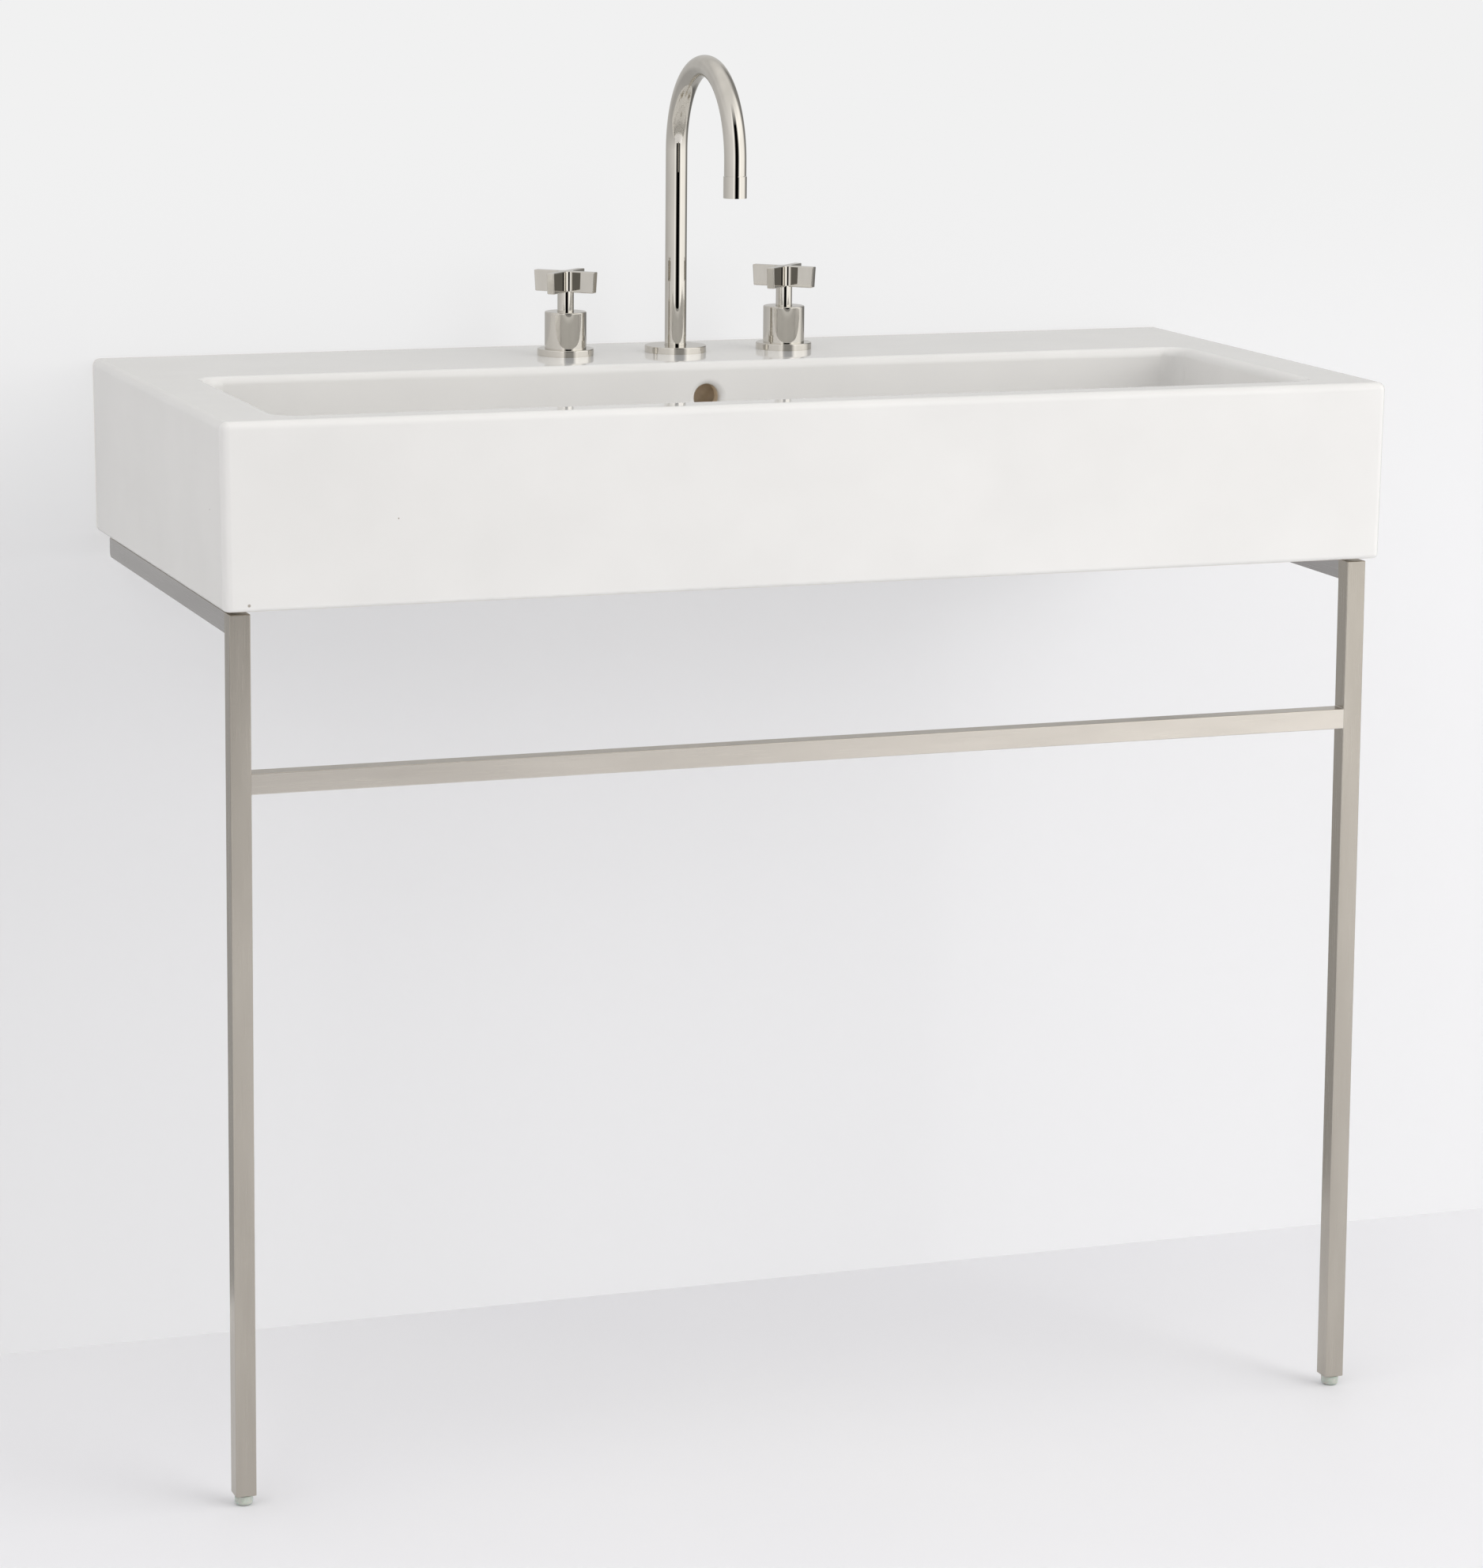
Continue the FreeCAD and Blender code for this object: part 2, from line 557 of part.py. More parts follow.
    # The holes: flange seat and drain, taps, wall bolts and the anchors for the rails.
    seat_cut = new_sketch(body, "XY", dish_low)
    circle(seat_cut, seat, "0", DRAIN_Y)
    pocket(seat_cut, f"{dish_low} - {SEAT_Z}")
    drain = new_sketch(body, "XY", SEAT_Z)
    circle(drain, "drain_hole_radius", "0", DRAIN_Y)
    pocket(drain, "drain_boss_drop")
    taps = new_sketch(body, "XY", "basin_height")
    for x in (f"-{TAP_X}", "0", TAP_X):
        circle(taps, "tap_hole_radius", x, TAP_Y)
    pocket(taps, "deck_thickness")
    bolts = new_sketch(body, "XZ", f"-{wall}")
    for x in ("-wall_bolt_spread / 2", "wall_bolt_spread / 2"):
        circle(bolts, "wall_bolt_hole", x, "basin_height - wall_bolt_drop")
    pocket(bolts, "back_thickness", up=True)
    anchors = new_sketch(body, "XY")
    for x in (f"-{FRAME_X}", FRAME_X):
        for y in SCREW_YS:
            circle(anchors, "anchor_radius", x, y)
    pocket(anchors, "anchor_length + 1", up=True)
    place(body, z=UNDERSIDE)


# ---------------------------------------------------------------------------- drain

def make_drain():
    """The push-open drain, drawn from the seat of its flange."""
    at = {"y": DRAIN_Y, "z": DRAIN_SEAT}
    flange_low = "drain_seal_thickness"
    flange_top = "(drain_seal_thickness + flange_thickness)"
    low = "(-drain_length)"
    under = "(-drain_boss_drop)"
    nut_top = f"({under} - drain_washer_thickness)"
    nut_low = f"({nut_top} - drain_nut_height)"
    groove_low = f"({nut_low} - drain_relief)"
    groove_radius = "(drain_thread_radius - drain_relief_depth)"
    body = turned("drain_body", (
        ("drain_bore_radius", low), ("drain_thread_radius", low),
        ("drain_thread_radius", groove_low), (groove_radius, groove_low),
        (groove_radius, nut_low), ("drain_thread_radius", nut_low),
        ("drain_thread_radius", flange_low), ("flange_radius", flange_low),
        ("flange_radius", "drain_seal_thickness + 1"), ("flange_radius - 2", flange_top),
        ("drain_bore_radius + 3", flange_top), ("drain_bore_radius", "-2"),
    ))
    window_z = f"(-(drain_boss_drop - duct_wall - duct_gap / 2))"
    window = new_sketch(body, "XZ")
    oblong(
        window, "-drain_window", "drain_window",
        f"({window_z} - duct_gap / 2)", f"({window_z} + duct_gap / 2)",
    )
    cut = pocket(window, "2 * drain_thread_radius + 2")
    cut.Midplane = True
    bridge = new_sketch(body, "XY", "-bridge_drop - bridge_height")
    reach = "(drain_bore_radius + 1)"
    oblong(bridge, f"-{reach}", reach, "-bridge_width / 2", "bridge_width / 2")
    pad(bridge, "bridge_height")
    thread = new_sketch(body, "XY", "-bridge_drop")
    circle(thread, "post_thread_radius + thread_play")
    pocket(thread, "bridge_height")
    place(body, **at)

    seal_inner = "drain_hole_radius"
    seal = ring("drain_top_seal", seal_inner, "flange_radius - 1", "0", flange_low)
    place(seal, **at)
    around = "(drain_thread_radius + thread_play)"
    washer = ring("drain_washer", around, "drain_washer_radius", nut_top, under)
    place(washer, **at)
    nut = new_body("drain_nut")
    section = new_sketch(nut, "XY", nut_low)
    hexagon(section, "drain_nut_flats")
    circle(section, around)
    pad(section, "drain_nut_height")
    place(nut, **at)

    post_low = "(-bridge_drop)"
    post_top = f"({post_low} + post_length)"
    post = turned("click_cartridge", (
        ("0", f"{post_low} - bridge_height"), ("post_thread_radius", f"{post_low} - bridge_height"),
        ("post_thread_radius", post_low), ("post_radius + 2", post_low),
        ("post_radius + 2", f"{post_low} + 2.5"), ("post_radius", f"{post_low} + 2.5"),
        ("post_radius", f"{post_top} - 1"), ("post_radius - 1", post_top), ("0", post_top),
    ))
    place(post, **at)
    cap_low = f"({flange_top} + 0.3)"
    cap_top = f"({cap_low} + cap_thickness)"
    sleeve = "(post_radius + swivel_play)"
    sleeve_outer = f"({sleeve} + cap_skirt_wall)"
    groove_x = "(drain_bore_radius + 4)"
    groove_end = f"({groove_x} + 2 * cap_seal_radius)"
    groove_top = f"({cap_low} + cap_seal_radius)"
    cap = turned("drain_cap", (
        ("0", f"({cap_low} + 1)"), (sleeve, f"({cap_low} + 1)"),
        (sleeve, f"{cap_low} - cap_skirt"), (sleeve_outer, f"{cap_low} - cap_skirt"),
        (sleeve_outer, cap_low), (groove_x, cap_low), (groove_x, groove_top),
        (groove_end, groove_top), (groove_end, cap_low), ("cap_radius - 1", cap_low),
        ("cap_radius", f"{cap_low} + 1"), ("cap_radius", f"{cap_top} - 1.6"),
        ("cap_radius - 1.6", cap_top), ("0", cap_top),
    ))
    place(cap, **at)
    cap_seal = ring("cap_seal", groove_x, groove_end, f"{cap_low} - 0.2", groove_top)
    place(cap_seal, **at)


# ---------------------------------------------------------------------------- frame

def tube_outline(sketch, across="0", along="0"):
    """The outer square of the frame's tube about a place in the sketch."""
    half = "tube_size / 2"
    edges = (f"({across} - {half})", f"({across} + {half})", f"({along} - {half})", f"({along} + {half})")
    oblong(sketch, *edges, "tube_corner")


def inside_square(sketch, size, across="0", along="0"):
    """A plain square about a place in the sketch."""
    half = f"{size} / 2"
    outline(sketch, (
        (f"{across} - {half}", f"{along} - {half}"), (f"{across} + {half}", f"{along} - {half}"),
        (f"{across} + {half}", f"{along} + {half}"), (f"{across} - {half}", f"{along} + {half}"),
    ))


def make_leg(label, side):
    """One upright, open below for its threaded bush and closed on top."""
    body = new_body(label)
    section = new_sketch(body, "XY")
    tube_outline(section)
    length = f"({RAIL_TOP} - {LEG_FOOT})"
    pad(section, length)
    bore = new_sketch(body, "XY")
    inside_square(bore, TUBE_INSIDE)
    pocket(bore, f"{length} - tube_wall", up=True)
    round_edges(body, "tube_wall * 0.8", lambda e: lies_at(e, length))
    place(body, f"{side}{FRAME_X}", LEG_Y, LEG_FOOT)


def make_rail(label, side):
    """One side rail, from the back of its leg towards the wall, with its screw holes."""
    body = new_body(label)
    section = new_sketch(body, "XZ")
    tube_outline(section)
    inside_square(section, TUBE_INSIDE)
    pad(section, f"{RAIL_BACK} - {RAIL_FRONT}", down=True)
    spots = [f"({y} - {RAIL_FRONT})" for y in SCREW_YS]
    above = new_sketch(body, "XY", "tube_size / 2")
    below = new_sketch(body, "XY", "-tube_size / 2")
    for y in spots:
        circle(above, "rail_screw_radius + rail_screw_play", "0", y)
        circle(below, "rail_screw_head + rail_screw_play", "0", y)
    pocket(above, "tube_wall + 1")
    pocket(below, "tube_wall + 1", up=True)
    place(body, f"{side}{FRAME_X}", RAIL_FRONT, f"{RAIL_TOP} - tube_size / 2")


def make_crossbar():
    """The towel bar, welded between the legs and flush with their fronts."""
    reach = f"({FRAME_X} - tube_size / 2)"
    bar = new_body("crossbar")
    section = new_sketch(bar, "YZ", f"-{reach}")
    tube_outline(section)
    inside_square(section, TUBE_INSIDE)
    pad(section, f"2 * {reach}")
    place(bar, y=LEG_Y, z="bar_height - tube_size / 2")


def make_end_caps():
    """A cap behind each rail, its lower corner rounded, with a plug inside the tube."""
    body = new_body("rail_end_caps")
    half = "tube_size / 2"
    plug = f"({TUBE_INSIDE} / 2 - thread_play)"
    for side in ("-", ""):
        start = f"({side}{FRAME_X} - {half})"
        plate = new_sketch(body, "YZ", start)
        oblong(plate, "0", "cap_plate", f"-{half}", half)
        pad(plate, "tube_size")
        inside = new_sketch(body, "YZ", f"({side}{FRAME_X} - {plug})")
        oblong(inside, "-cap_plug", "0", f"-{plug}", plug)
        pad(inside, f"2 * {plug}")
    back = value_of("cap_plate")

    def lower_back(edge):
        box = edge.BoundBox
        low = abs(box.ZMax + value_of(half)) < 1e-4
        return low and abs(box.YMin - back) < 1e-4 and box.YLength < 1e-4 and box.XLength > 1

    round_edges(body, "cap_round", lower_back)
    place(body, y=RAIL_BACK, z=f"{RAIL_TOP} - {half}")


def make_feet():
    """The threaded bushes in the legs, and a plastic foot on a stud under each."""
    bushes = new_body("leg_bushes")
    section = new_sketch(bushes, "XY")
    for side in ("-", ""):
        inside_square(section, f"({TUBE_INSIDE} - 2 * thread_play)", f"{side}{FRAME_X}")
        circle(section, "stud_radius + thread_play", f"{side}{FRAME_X}")
    pad(section, "bush_length")
    place(bushes, y=LEG_Y, z=LEG_FOOT)
    for label, side in (("left", "-"), ("right", "")):
        at = {"x": f"{side}{FRAME_X}", "y": LEG_Y}
        sink = "(foot_height - stud_sink)"
        foot = turned(f"{label}_foot_pad", (
            ("0", "0"), ("foot_radius", "0"), ("foot_radius", "foot_height"),
            ("stud_radius", "foot_height"), ("stud_radius", sink), ("0", sink),
        ))
        round_edges(foot, "foot_round", lambda e: is_round(e, "foot_radius", "0"))
        place(foot, **at)
        top = "(foot_height + stud_length)"
        stud = turned(f"{label}_foot_stud", (
            ("0", sink), ("stud_radius", sink), ("stud_radius", f"{top} - 1"),
            ("stud_radius - 1", top), ("0", top),
        ))
        place(stud, **at)


def make_rail_fixings():
    """The screws, rubber spacers and plastic anchors that hold the basin on the rails."""
    spots = [(f"{side}{FRAME_X}", y) for side in ("-", "") for y in SCREW_YS]
    screws = new_body("rail_screws")
    head_top = f"({RAIL_TOP} - tube_wall)"
    heads = new_sketch(screws, "XY", head_top)
    shanks = new_sketch(screws, "XY", f"{head_top} - 0.5")
    for x, y in spots:
        circle(heads, "rail_screw_head", x, y)
        circle(shanks, "rail_screw_radius", x, y)
    pad(heads, "rail_screw_head_height", down=True)
    pad(shanks, f"{UNDERSIDE} + rail_screw_reach - {head_top} + 0.5")
    spacers = new_body("rail_spacers")
    rings = new_sketch(spacers, "XY", RAIL_TOP)
    anchors = new_body("basin_anchors")
    plugs = new_sketch(anchors, "XY", UNDERSIDE)
    for x, y in spots:
        circle(rings, "spacer_radius", x, y)
        circle(rings, "rail_screw_radius + rail_screw_play", x, y)
        circle(plugs, "anchor_radius - thread_play / 2", x, y)
        circle(plugs, "rail_screw_radius + thread_play / 2", x, y)
    pad(rings, "rail_gap")
    pad(plugs, "anchor_length")


# ---------------------------------------------------------------------------- handles

def make_handle_side(name, side):
    """One valve with its rose, bonnet and cross handle, drawn from the top of the deck."""
    at = {"x": f"{side}{TAP_X}", "y": TAP_Y, "z": "rim_height"}
    gasket_outer = "(rose_radius - gasket_margin)"
    rose = turned(f"{name}_rose", (
        (THREAD_BORE, "gasket_thickness"), (gasket_outer, "gasket_thickness"),
        (gasket_outer, "0"), ("rose_radius", "0"), ("rose_radius", "rose_height"),
        (THREAD_BORE, "rose_height"),
    ))
    round_edges(rose, "rose_round", lambda e: is_round(e, "rose_radius", "rose_height"))
    place(rose, **at)

    under_top = f"({BONNET_TOP} - bonnet_top)"
    bonnet = turned(f"{name}_bonnet", (
        (THREAD_BORE, "rose_height"), ("bonnet_radius", "rose_height"),
        ("bonnet_radius", BONNET_TOP), ("neck_radius + neck_play", BONNET_TOP),
        ("neck_radius + neck_play", under_top), (THREAD_BORE, under_top),
    ))
    round_edges(bonnet, "bonnet_round", lambda e: is_round(e, "bonnet_radius", BONNET_TOP))
    place(bonnet, **at)

    # The valve body, with its branch towards the spout and its inlet tail below.
    shoulder = "(-valve_drop)"
    tail = f"({shoulder} - inlet_length)"
    valve = turned(f"{name}_valve_body", (
        ("valve_way_radius", tail), ("inlet_radius", tail), ("inlet_radius", shoulder),
        ("shank_radius", shoulder), ("shank_radius", "valve_top"),
        ("valve_bore_radius", "valve_top"), ("valve_bore_radius", "-valve_seat_drop"),
        ("valve_way_radius", "-valve_seat_drop"),
    ))
    inward = side == "-"
    branch = new_sketch(valve, "YZ", "shank_radius - 2" if inward else "2 - shank_radius")
    circle(branch, "branch_radius", "0", "-branch_drop")
    pad(branch, "branch_reach - shank_radius + 2", down=not inward)
    way = new_sketch(valve, "YZ", "branch_reach" if inward else "-branch_reach")
    circle(way, "feed_radius + feed_play", "0", "-branch_drop")
    pocket(way, "branch_reach", up=not inward)
    place(valve, **at)

    flange_top = "(valve_top + cartridge_flange_height)"
    seat = "(-valve_seat_drop)"
    bore = "(spindle_radius + spindle_play)"
    well = "(spindle_low - 1)"
    cartridge = turned(f"{name}_cartridge", (
        ("0", seat), ("valve_bore_radius - thread_play", seat),
        ("valve_bore_radius - thread_play", "valve_top"), ("cartridge_flange_radius", "valve_top"),
        ("cartridge_flange_radius", flange_top), (bore, flange_top), (bore, well), ("0", well),
    ))
    place(cartridge, **at)
    spindle_top = f"({CROSS_LOW} + spindle_in_cross)"
    spindle = turned(f"{name}_spindle", (
        ("0", "spindle_low"), ("spindle_radius", "spindle_low"),
        ("spindle_radius", f"{spindle_top} - 1"), ("spindle_radius - 1", spindle_top),
        ("0", spindle_top),
    ))
    place(spindle, turn=45, **at)

    # The handle: four bars on a neck, set at 45 degrees to the wall.
    handle = new_body(f"{name}_handle")
    arm = "cross_width / 2"
    end = "(cross_span / 2 - cross_lean)"
    cross = new_sketch(handle, "XY", CROSS_LOW)
    outline(cross, (
        (end, f"-{arm}"), (end, arm), (arm, arm), (arm, end), (f"-{arm}", end),
        (f"-{arm}", arm), (f"-{end}", arm), (f"-{end}", f"-{arm}"), (f"-{arm}", f"-{arm}"),
        (f"-{arm}", f"-{end}"), (arm, f"-{end}"), (arm, f"-{arm}"),
    ))
    pad(cross, "cross_height")

    def bar_end(face):
        box = face.BoundBox
        reach = max(abs(box.XMin + box.XMax), abs(box.YMin + box.YMax)) / 2
        return abs(reach - value_of(end)) < 1e-4 and box.ZLength > 1

    def cross_bottom(face):
        return face.BoundBox.ZLength < 1e-4 and abs(face.BoundBox.ZMin - value_of(CROSS_LOW)) < 1e-4

    lean(handle, "cross_lean", "cross_height", bar_end, flat=cross_bottom)

    def near_axis(edge):
        box = edge.BoundBox
        reach = max(abs(box.XMin), abs(box.XMax), abs(box.YMin), abs(box.YMax))
        return is_upright(edge) and reach < value_of("cross_width")

    round_edges(handle, "cross_fillet", near_axis)

    def outer_end(edge):
        box = edge.BoundBox
        reach = max(abs(box.XMin), abs(box.XMax), abs(box.YMin), abs(box.YMax))
        return is_upright(edge) and reach > value_of("cross_width")

    round_edges(handle, "cross_round", outer_end)
    top_level = f"({CROSS_LOW} + cross_height)"
    round_edges(handle, "cross_round", lambda e: lies_at(e, CROSS_LOW) or lies_at(e, top_level))
    neck = new_sketch(handle, "XY", f"{CROSS_LOW} + 1")
    circle(neck, "neck_radius")
    pad(neck, "neck_height + neck_sink + 1", down=True)
    socket = new_sketch(handle, "XY", f"{BONNET_TOP} - neck_sink")
    circle(socket, "spindle_radius + thread_play / 2")
    pocket(socket, f"{spindle_top} + 0.5 - {BONNET_TOP} + neck_sink", up=True)
    screw_z = f"({CROSS_LOW} - set_screw_drop)"
    tapped = new_sketch(handle, "YZ", "0")
    circle(tapped, "set_screw_radius", "0", screw_z)
    pocket(tapped, "neck_radius + 1", up=True)
    place(handle, turn=45, **at)
    screw = new_body(f"{name}_set_screw")
    end = new_sketch(screw, "YZ", "spindle_radius")
    circle(end, "set_screw_radius - thread_play / 2", "0", screw_z)
    pad(end, "neck_radius - spindle_radius - 0.4")
    place(screw, turn=45, **at)


# ---------------------------------------------------------------------------- under the deck

def make_deck_fixings():
    """The gaskets in the roses, and the washers and locknuts under the deck."""
    tops = (("handle_gaskets", "rose_radius", (f"-{TAP_X}", TAP_X)), ("spout_gasket", "spout_rose_radius", ("0",)))
    for label, outer, places in tops:
        body = new_body(label)
        rings = new_sketch(body, "XY", "rim_height")
        for x in places:
            circle(rings, f"{outer} - gasket_margin - thread_play", x, TAP_Y)
            circle(rings, "shank_radius + 2 * thread_play", x, TAP_Y)
        pad(rings, "gasket_thickness")
    under = "(rim_height - deck_thickness)"
    washers = new_body("deck_washers")
    flat = new_sketch(washers, "XY", under)
    nuts = new_body("deck_locknuts")
    hexes = new_sketch(nuts, "XY", f"{under} - washer_thickness")
    for x in (f"-{TAP_X}", "0", TAP_X):
        circle(flat, "washer_radius", x, TAP_Y)
        circle(flat, THREAD_BORE, x, TAP_Y)
        hexagon(hexes, "locknut_flats", x, TAP_Y)
        circle(hexes, THREAD_BORE, x, TAP_Y)
    pad(flat, "washer_thickness", down=True)
    pad(hexes, "locknut_height", down=True)


def make_feed_tubes():
    """The copper tubes from the valves to the tee, and their compression nuts."""
    height = "(rim_height - branch_drop)"
    start = "(branch_reach - feed_sink)"
    length = f"({FEED_END} - branch_reach + 2 * feed_sink)"
    for label, side in (("hot", "-"), ("cold", "")):
        body = new_body(f"{label}_feed_tube")
        section = new_sketch(body, "YZ", f"{side}{start}")
        circle(section, "feed_radius")
        circle(section, "feed_radius - feed_wall")
        pad(section, length, down=side == "-")
        place(body, y=TAP_Y, z=height)
    nuts = new_body("feed_nuts")
    starts = (f"-{FEED_END}", "-branch_reach - feed_nut_length", "branch_reach")
    for x in starts + (f"{FEED_END} - feed_nut_length",):
        section = new_sketch(nuts, "YZ", x)
        hexagon(section, "feed_nut_flats")
        circle(section, "feed_radius + feed_play")
        pad(section, "feed_nut_length")
    place(nuts, y=TAP_Y, z=height)


# ---------------------------------------------------------------------------- spout

def make_spout():
    """The swivelling spout and what it turns in, drawn from the top of the deck."""
    at = {"y": TAP_Y, "z": "rim_height"}
    spout = new_body("spout")
    radius = "(spout_reach / 2)"
    tube_end = "(outlet_height + nozzle_height)"
    path = new_sketch(spout, "YZ")
    rise, reach = value_of("spout_rise"), value_of("spout_reach")
    start, end = value_of("spout_start"), value_of(tube_end)
    path.addGeometry(Part.LineSegment(FreeCAD.Vector(0, start, 0), FreeCAD.Vector(0, rise, 0)), False)
    path.addGeometry(Part.Arc(
        FreeCAD.Vector(0, rise, 0), FreeCAD.Vector(-reach / 2, rise + reach / 2, 0),
        FreeCAD.Vector(-reach, rise, 0),
    ), False)
    path.addGeometry(
        Part.LineSegment(FreeCAD.Vector(-reach, rise, 0), FreeCAD.Vector(-reach, end, 0)), False
    )
    fix_point(path, 0, 1, "0", "spout_start")
    fix_point(path, 0, 2, "0", "spout_rise")
    path.addConstraint(Sketcher.Constraint("Coincident", 0, 2, 1, 1))
    fix_point(path, 1, 3, f"-{radius}", "spout_rise")
    path.addConstraint(Sketcher.Constraint("Coincident", 1, 2, 2, 1))
    fix_point(path, 2, 1, y="spout_rise")
    fix_point(path, 2, 2, "-spout_reach", tube_end)
    section = new_sketch(spout, "XY", "spout_start")
    circle(section, "spout_radius")
    circle(section, "spout_radius - spout_wall")
    sweep = spout.newObject("PartDesign::AdditivePipe", "spout_sweep")
    sweep.Profile = section
    sweep.Spine = (path, ["Edge1", "Edge2", "Edge3"])
    place(spout, **at)

    # The spigot in the foot of the spout, its sealing rings and its circlip.
    way = "spigot_way_radius"
    in_tube = "(spout_radius - spout_wall - thread_play / 2)"
    groove = "(spout_radius - 2 * ring_section + swivel_play)"
    clip_top = "(-swivel_depth - clip_play)"
    clip_low = f"({clip_top} - clip_thickness)"
    clip_floor = "(spout_radius - clip_groove)"
    stem = [(way, "-spigot_drop"), ("spout_radius", "-spigot_drop")]
    stem += [("spout_radius", clip_low), (clip_floor, clip_low)]
    stem += [(clip_floor, clip_top), ("spout_radius", clip_top)]
    ring_zs = ("(-ring_first - ring_pitch)", "(-ring_first)")
    for z in ring_zs:
        below, above = f"({z} - ring_section - 0.1)", f"({z} + ring_section + 0.1)"
        stem += [("spout_radius", below), (groove, below), (groove, above), ("spout_radius", above)]
    stem += [("spout_radius", "spout_start"), (in_tube, "spout_start")]
    stem += [(in_tube, "spout_start + spigot_rise"), (way, "spout_start + spigot_rise")]
    place(turned("spout_spigot", stem), **at)
    rings = new_body("spout_o_rings")
    round_section = new_sketch(rings, "XZ")
    for z in ring_zs:
        circle(round_section, "ring_section - 0.05", f"{groove} + ring_section", z)
    turn = rings.newObject("PartDesign::Revolution", "spout_o_rings_turn")
    turn.Profile = round_section
    turn.ReferenceAxis = (round_section, ["V_Axis"])
    turn.Angle = 360
    place(rings, **at)
    place(ring("spout_circlip", clip_floor, "spout_radius + clip_groove / 2", clip_low, clip_top), **at)

    # The outlet: aerator housing, aerator and its washer.
    out = {"y": f"{TAP_Y} - spout_reach", "z": "rim_height + outlet_height"}
    nozzle = turned("aerator_housing", (
        ("nozzle_bore_radius", "0"), ("nozzle_radius", "0"), ("nozzle_radius", "nozzle_height"),
        (in_tube, "nozzle_height"), (in_tube, "nozzle_height + nozzle_thread"),
        ("nozzle_way_radius", "nozzle_height + nozzle_thread"),
        ("nozzle_way_radius", "nozzle_bore_depth"), ("nozzle_bore_radius", "nozzle_bore_depth"),
    ))
    place(nozzle, **out)
    washer_low = "(nozzle_bore_depth - aerator_washer_height)"
    snug = "(nozzle_bore_radius - thread_play)"
    aerator = turned("aerator", (
        ("0", "aerator_inset"), (snug, "aerator_inset"), (snug, washer_low), ("0", washer_low),
    ))
    place(aerator, **out)
    flat = ring("aerator_washer", "nozzle_way_radius", snug, washer_low, "nozzle_bore_depth")
    place(flat, **out)

    # What stays still: rose, shank through the deck and the tee that joins the feeds.
    rose_bore = "(spout_radius + neck_play)"
    rose_gasket = "(spout_rose_radius - gasket_margin)"
    rose = turned("spout_rose", (
        (THREAD_BORE, "gasket_thickness"), (rose_gasket, "gasket_thickness"), (rose_gasket, "0"),
        ("spout_rose_radius", "0"), ("spout_rose_radius", "rose_height"),
        (rose_bore, "rose_height"), (rose_bore, "shank_rise"), (THREAD_BORE, "shank_rise"),
    ))
    round_edges(rose, "rose_round", lambda e: is_round(e, "spout_rose_radius", "rose_height"))
    place(rose, **at)
    shank = turned("spout_shank", (
        ("chamber_radius", "-shank_drop"), ("shank_radius", "-shank_drop"),
        ("shank_radius", "shank_rise"), (SWIVEL_BORE, "shank_rise"),
        (SWIVEL_BORE, "-swivel_depth"), ("chamber_radius", "-swivel_depth"),
    ))
    place(shank, **at)
    tee_top = "(tee_rise - branch_drop)"
    tee_low = "(-branch_drop - tee_drop)"
    tee = turned("spout_tee", (
        ("0", tee_low), ("tee_radius", tee_low), ("tee_radius", tee_top), (THREAD_BORE, tee_top),
        (THREAD_BORE, "-shank_drop"), ("chamber_radius", "-shank_drop"),
        ("chamber_radius", f"{tee_low} + tee_floor"), ("0", f"{tee_low} + tee_floor"),
    ))
    for out_x, back in (("tee_radius - 2", False), ("2 - tee_radius", True)):
        branch = new_sketch(tee, "YZ", out_x)
        circle(branch, "branch_radius", "0", "-branch_drop")
        pad(branch, "branch_reach - tee_radius + 2", down=back)
        inlet = new_sketch(tee, "YZ", "-branch_reach" if back else "branch_reach")
        circle(inlet, "feed_radius + feed_play", "0", "-branch_drop")
        pocket(inlet, "branch_reach - chamber_radius / 2", up=back)
    place(tee, **at)


make_basin()
make_drain()
make_leg("left_leg", "-")
make_leg("right_leg", "")
make_rail("left_rail", "-")
make_rail("right_rail", "")
make_crossbar()
make_end_caps()
make_feet()
make_rail_fixings()
make_handle_side("hot", "-")
make_handle_side("cold", "")
make_deck_fixings()
make_feed_tubes()
make_spout()
doc.recompute()

for item in doc.Objects:
    if {"Invalid", "Error"} & set(item.State):
        raise RuntimeError(f"{item.Name} failed: {item.State}")
parts = [item for item in doc.Objects if item.TypeId == "PartDesign::Body"]
for part in parts:
    if part.Shape.isNull() or not part.Shape.isValid():
        raise RuntimeError(f"{part.Label} has no valid shape")
os.makedirs("parts", exist_ok=True)
for part in parts:
    part.Shape.exportStep(f"parts/{part.Label}.step")
    print(f"{part.Label}: {len(part.Shape.Solids)} solid(s), {part.Shape.Volume:.0f} mm3")
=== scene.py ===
import json
import math

import bpy
from mathutils import Matrix, Vector


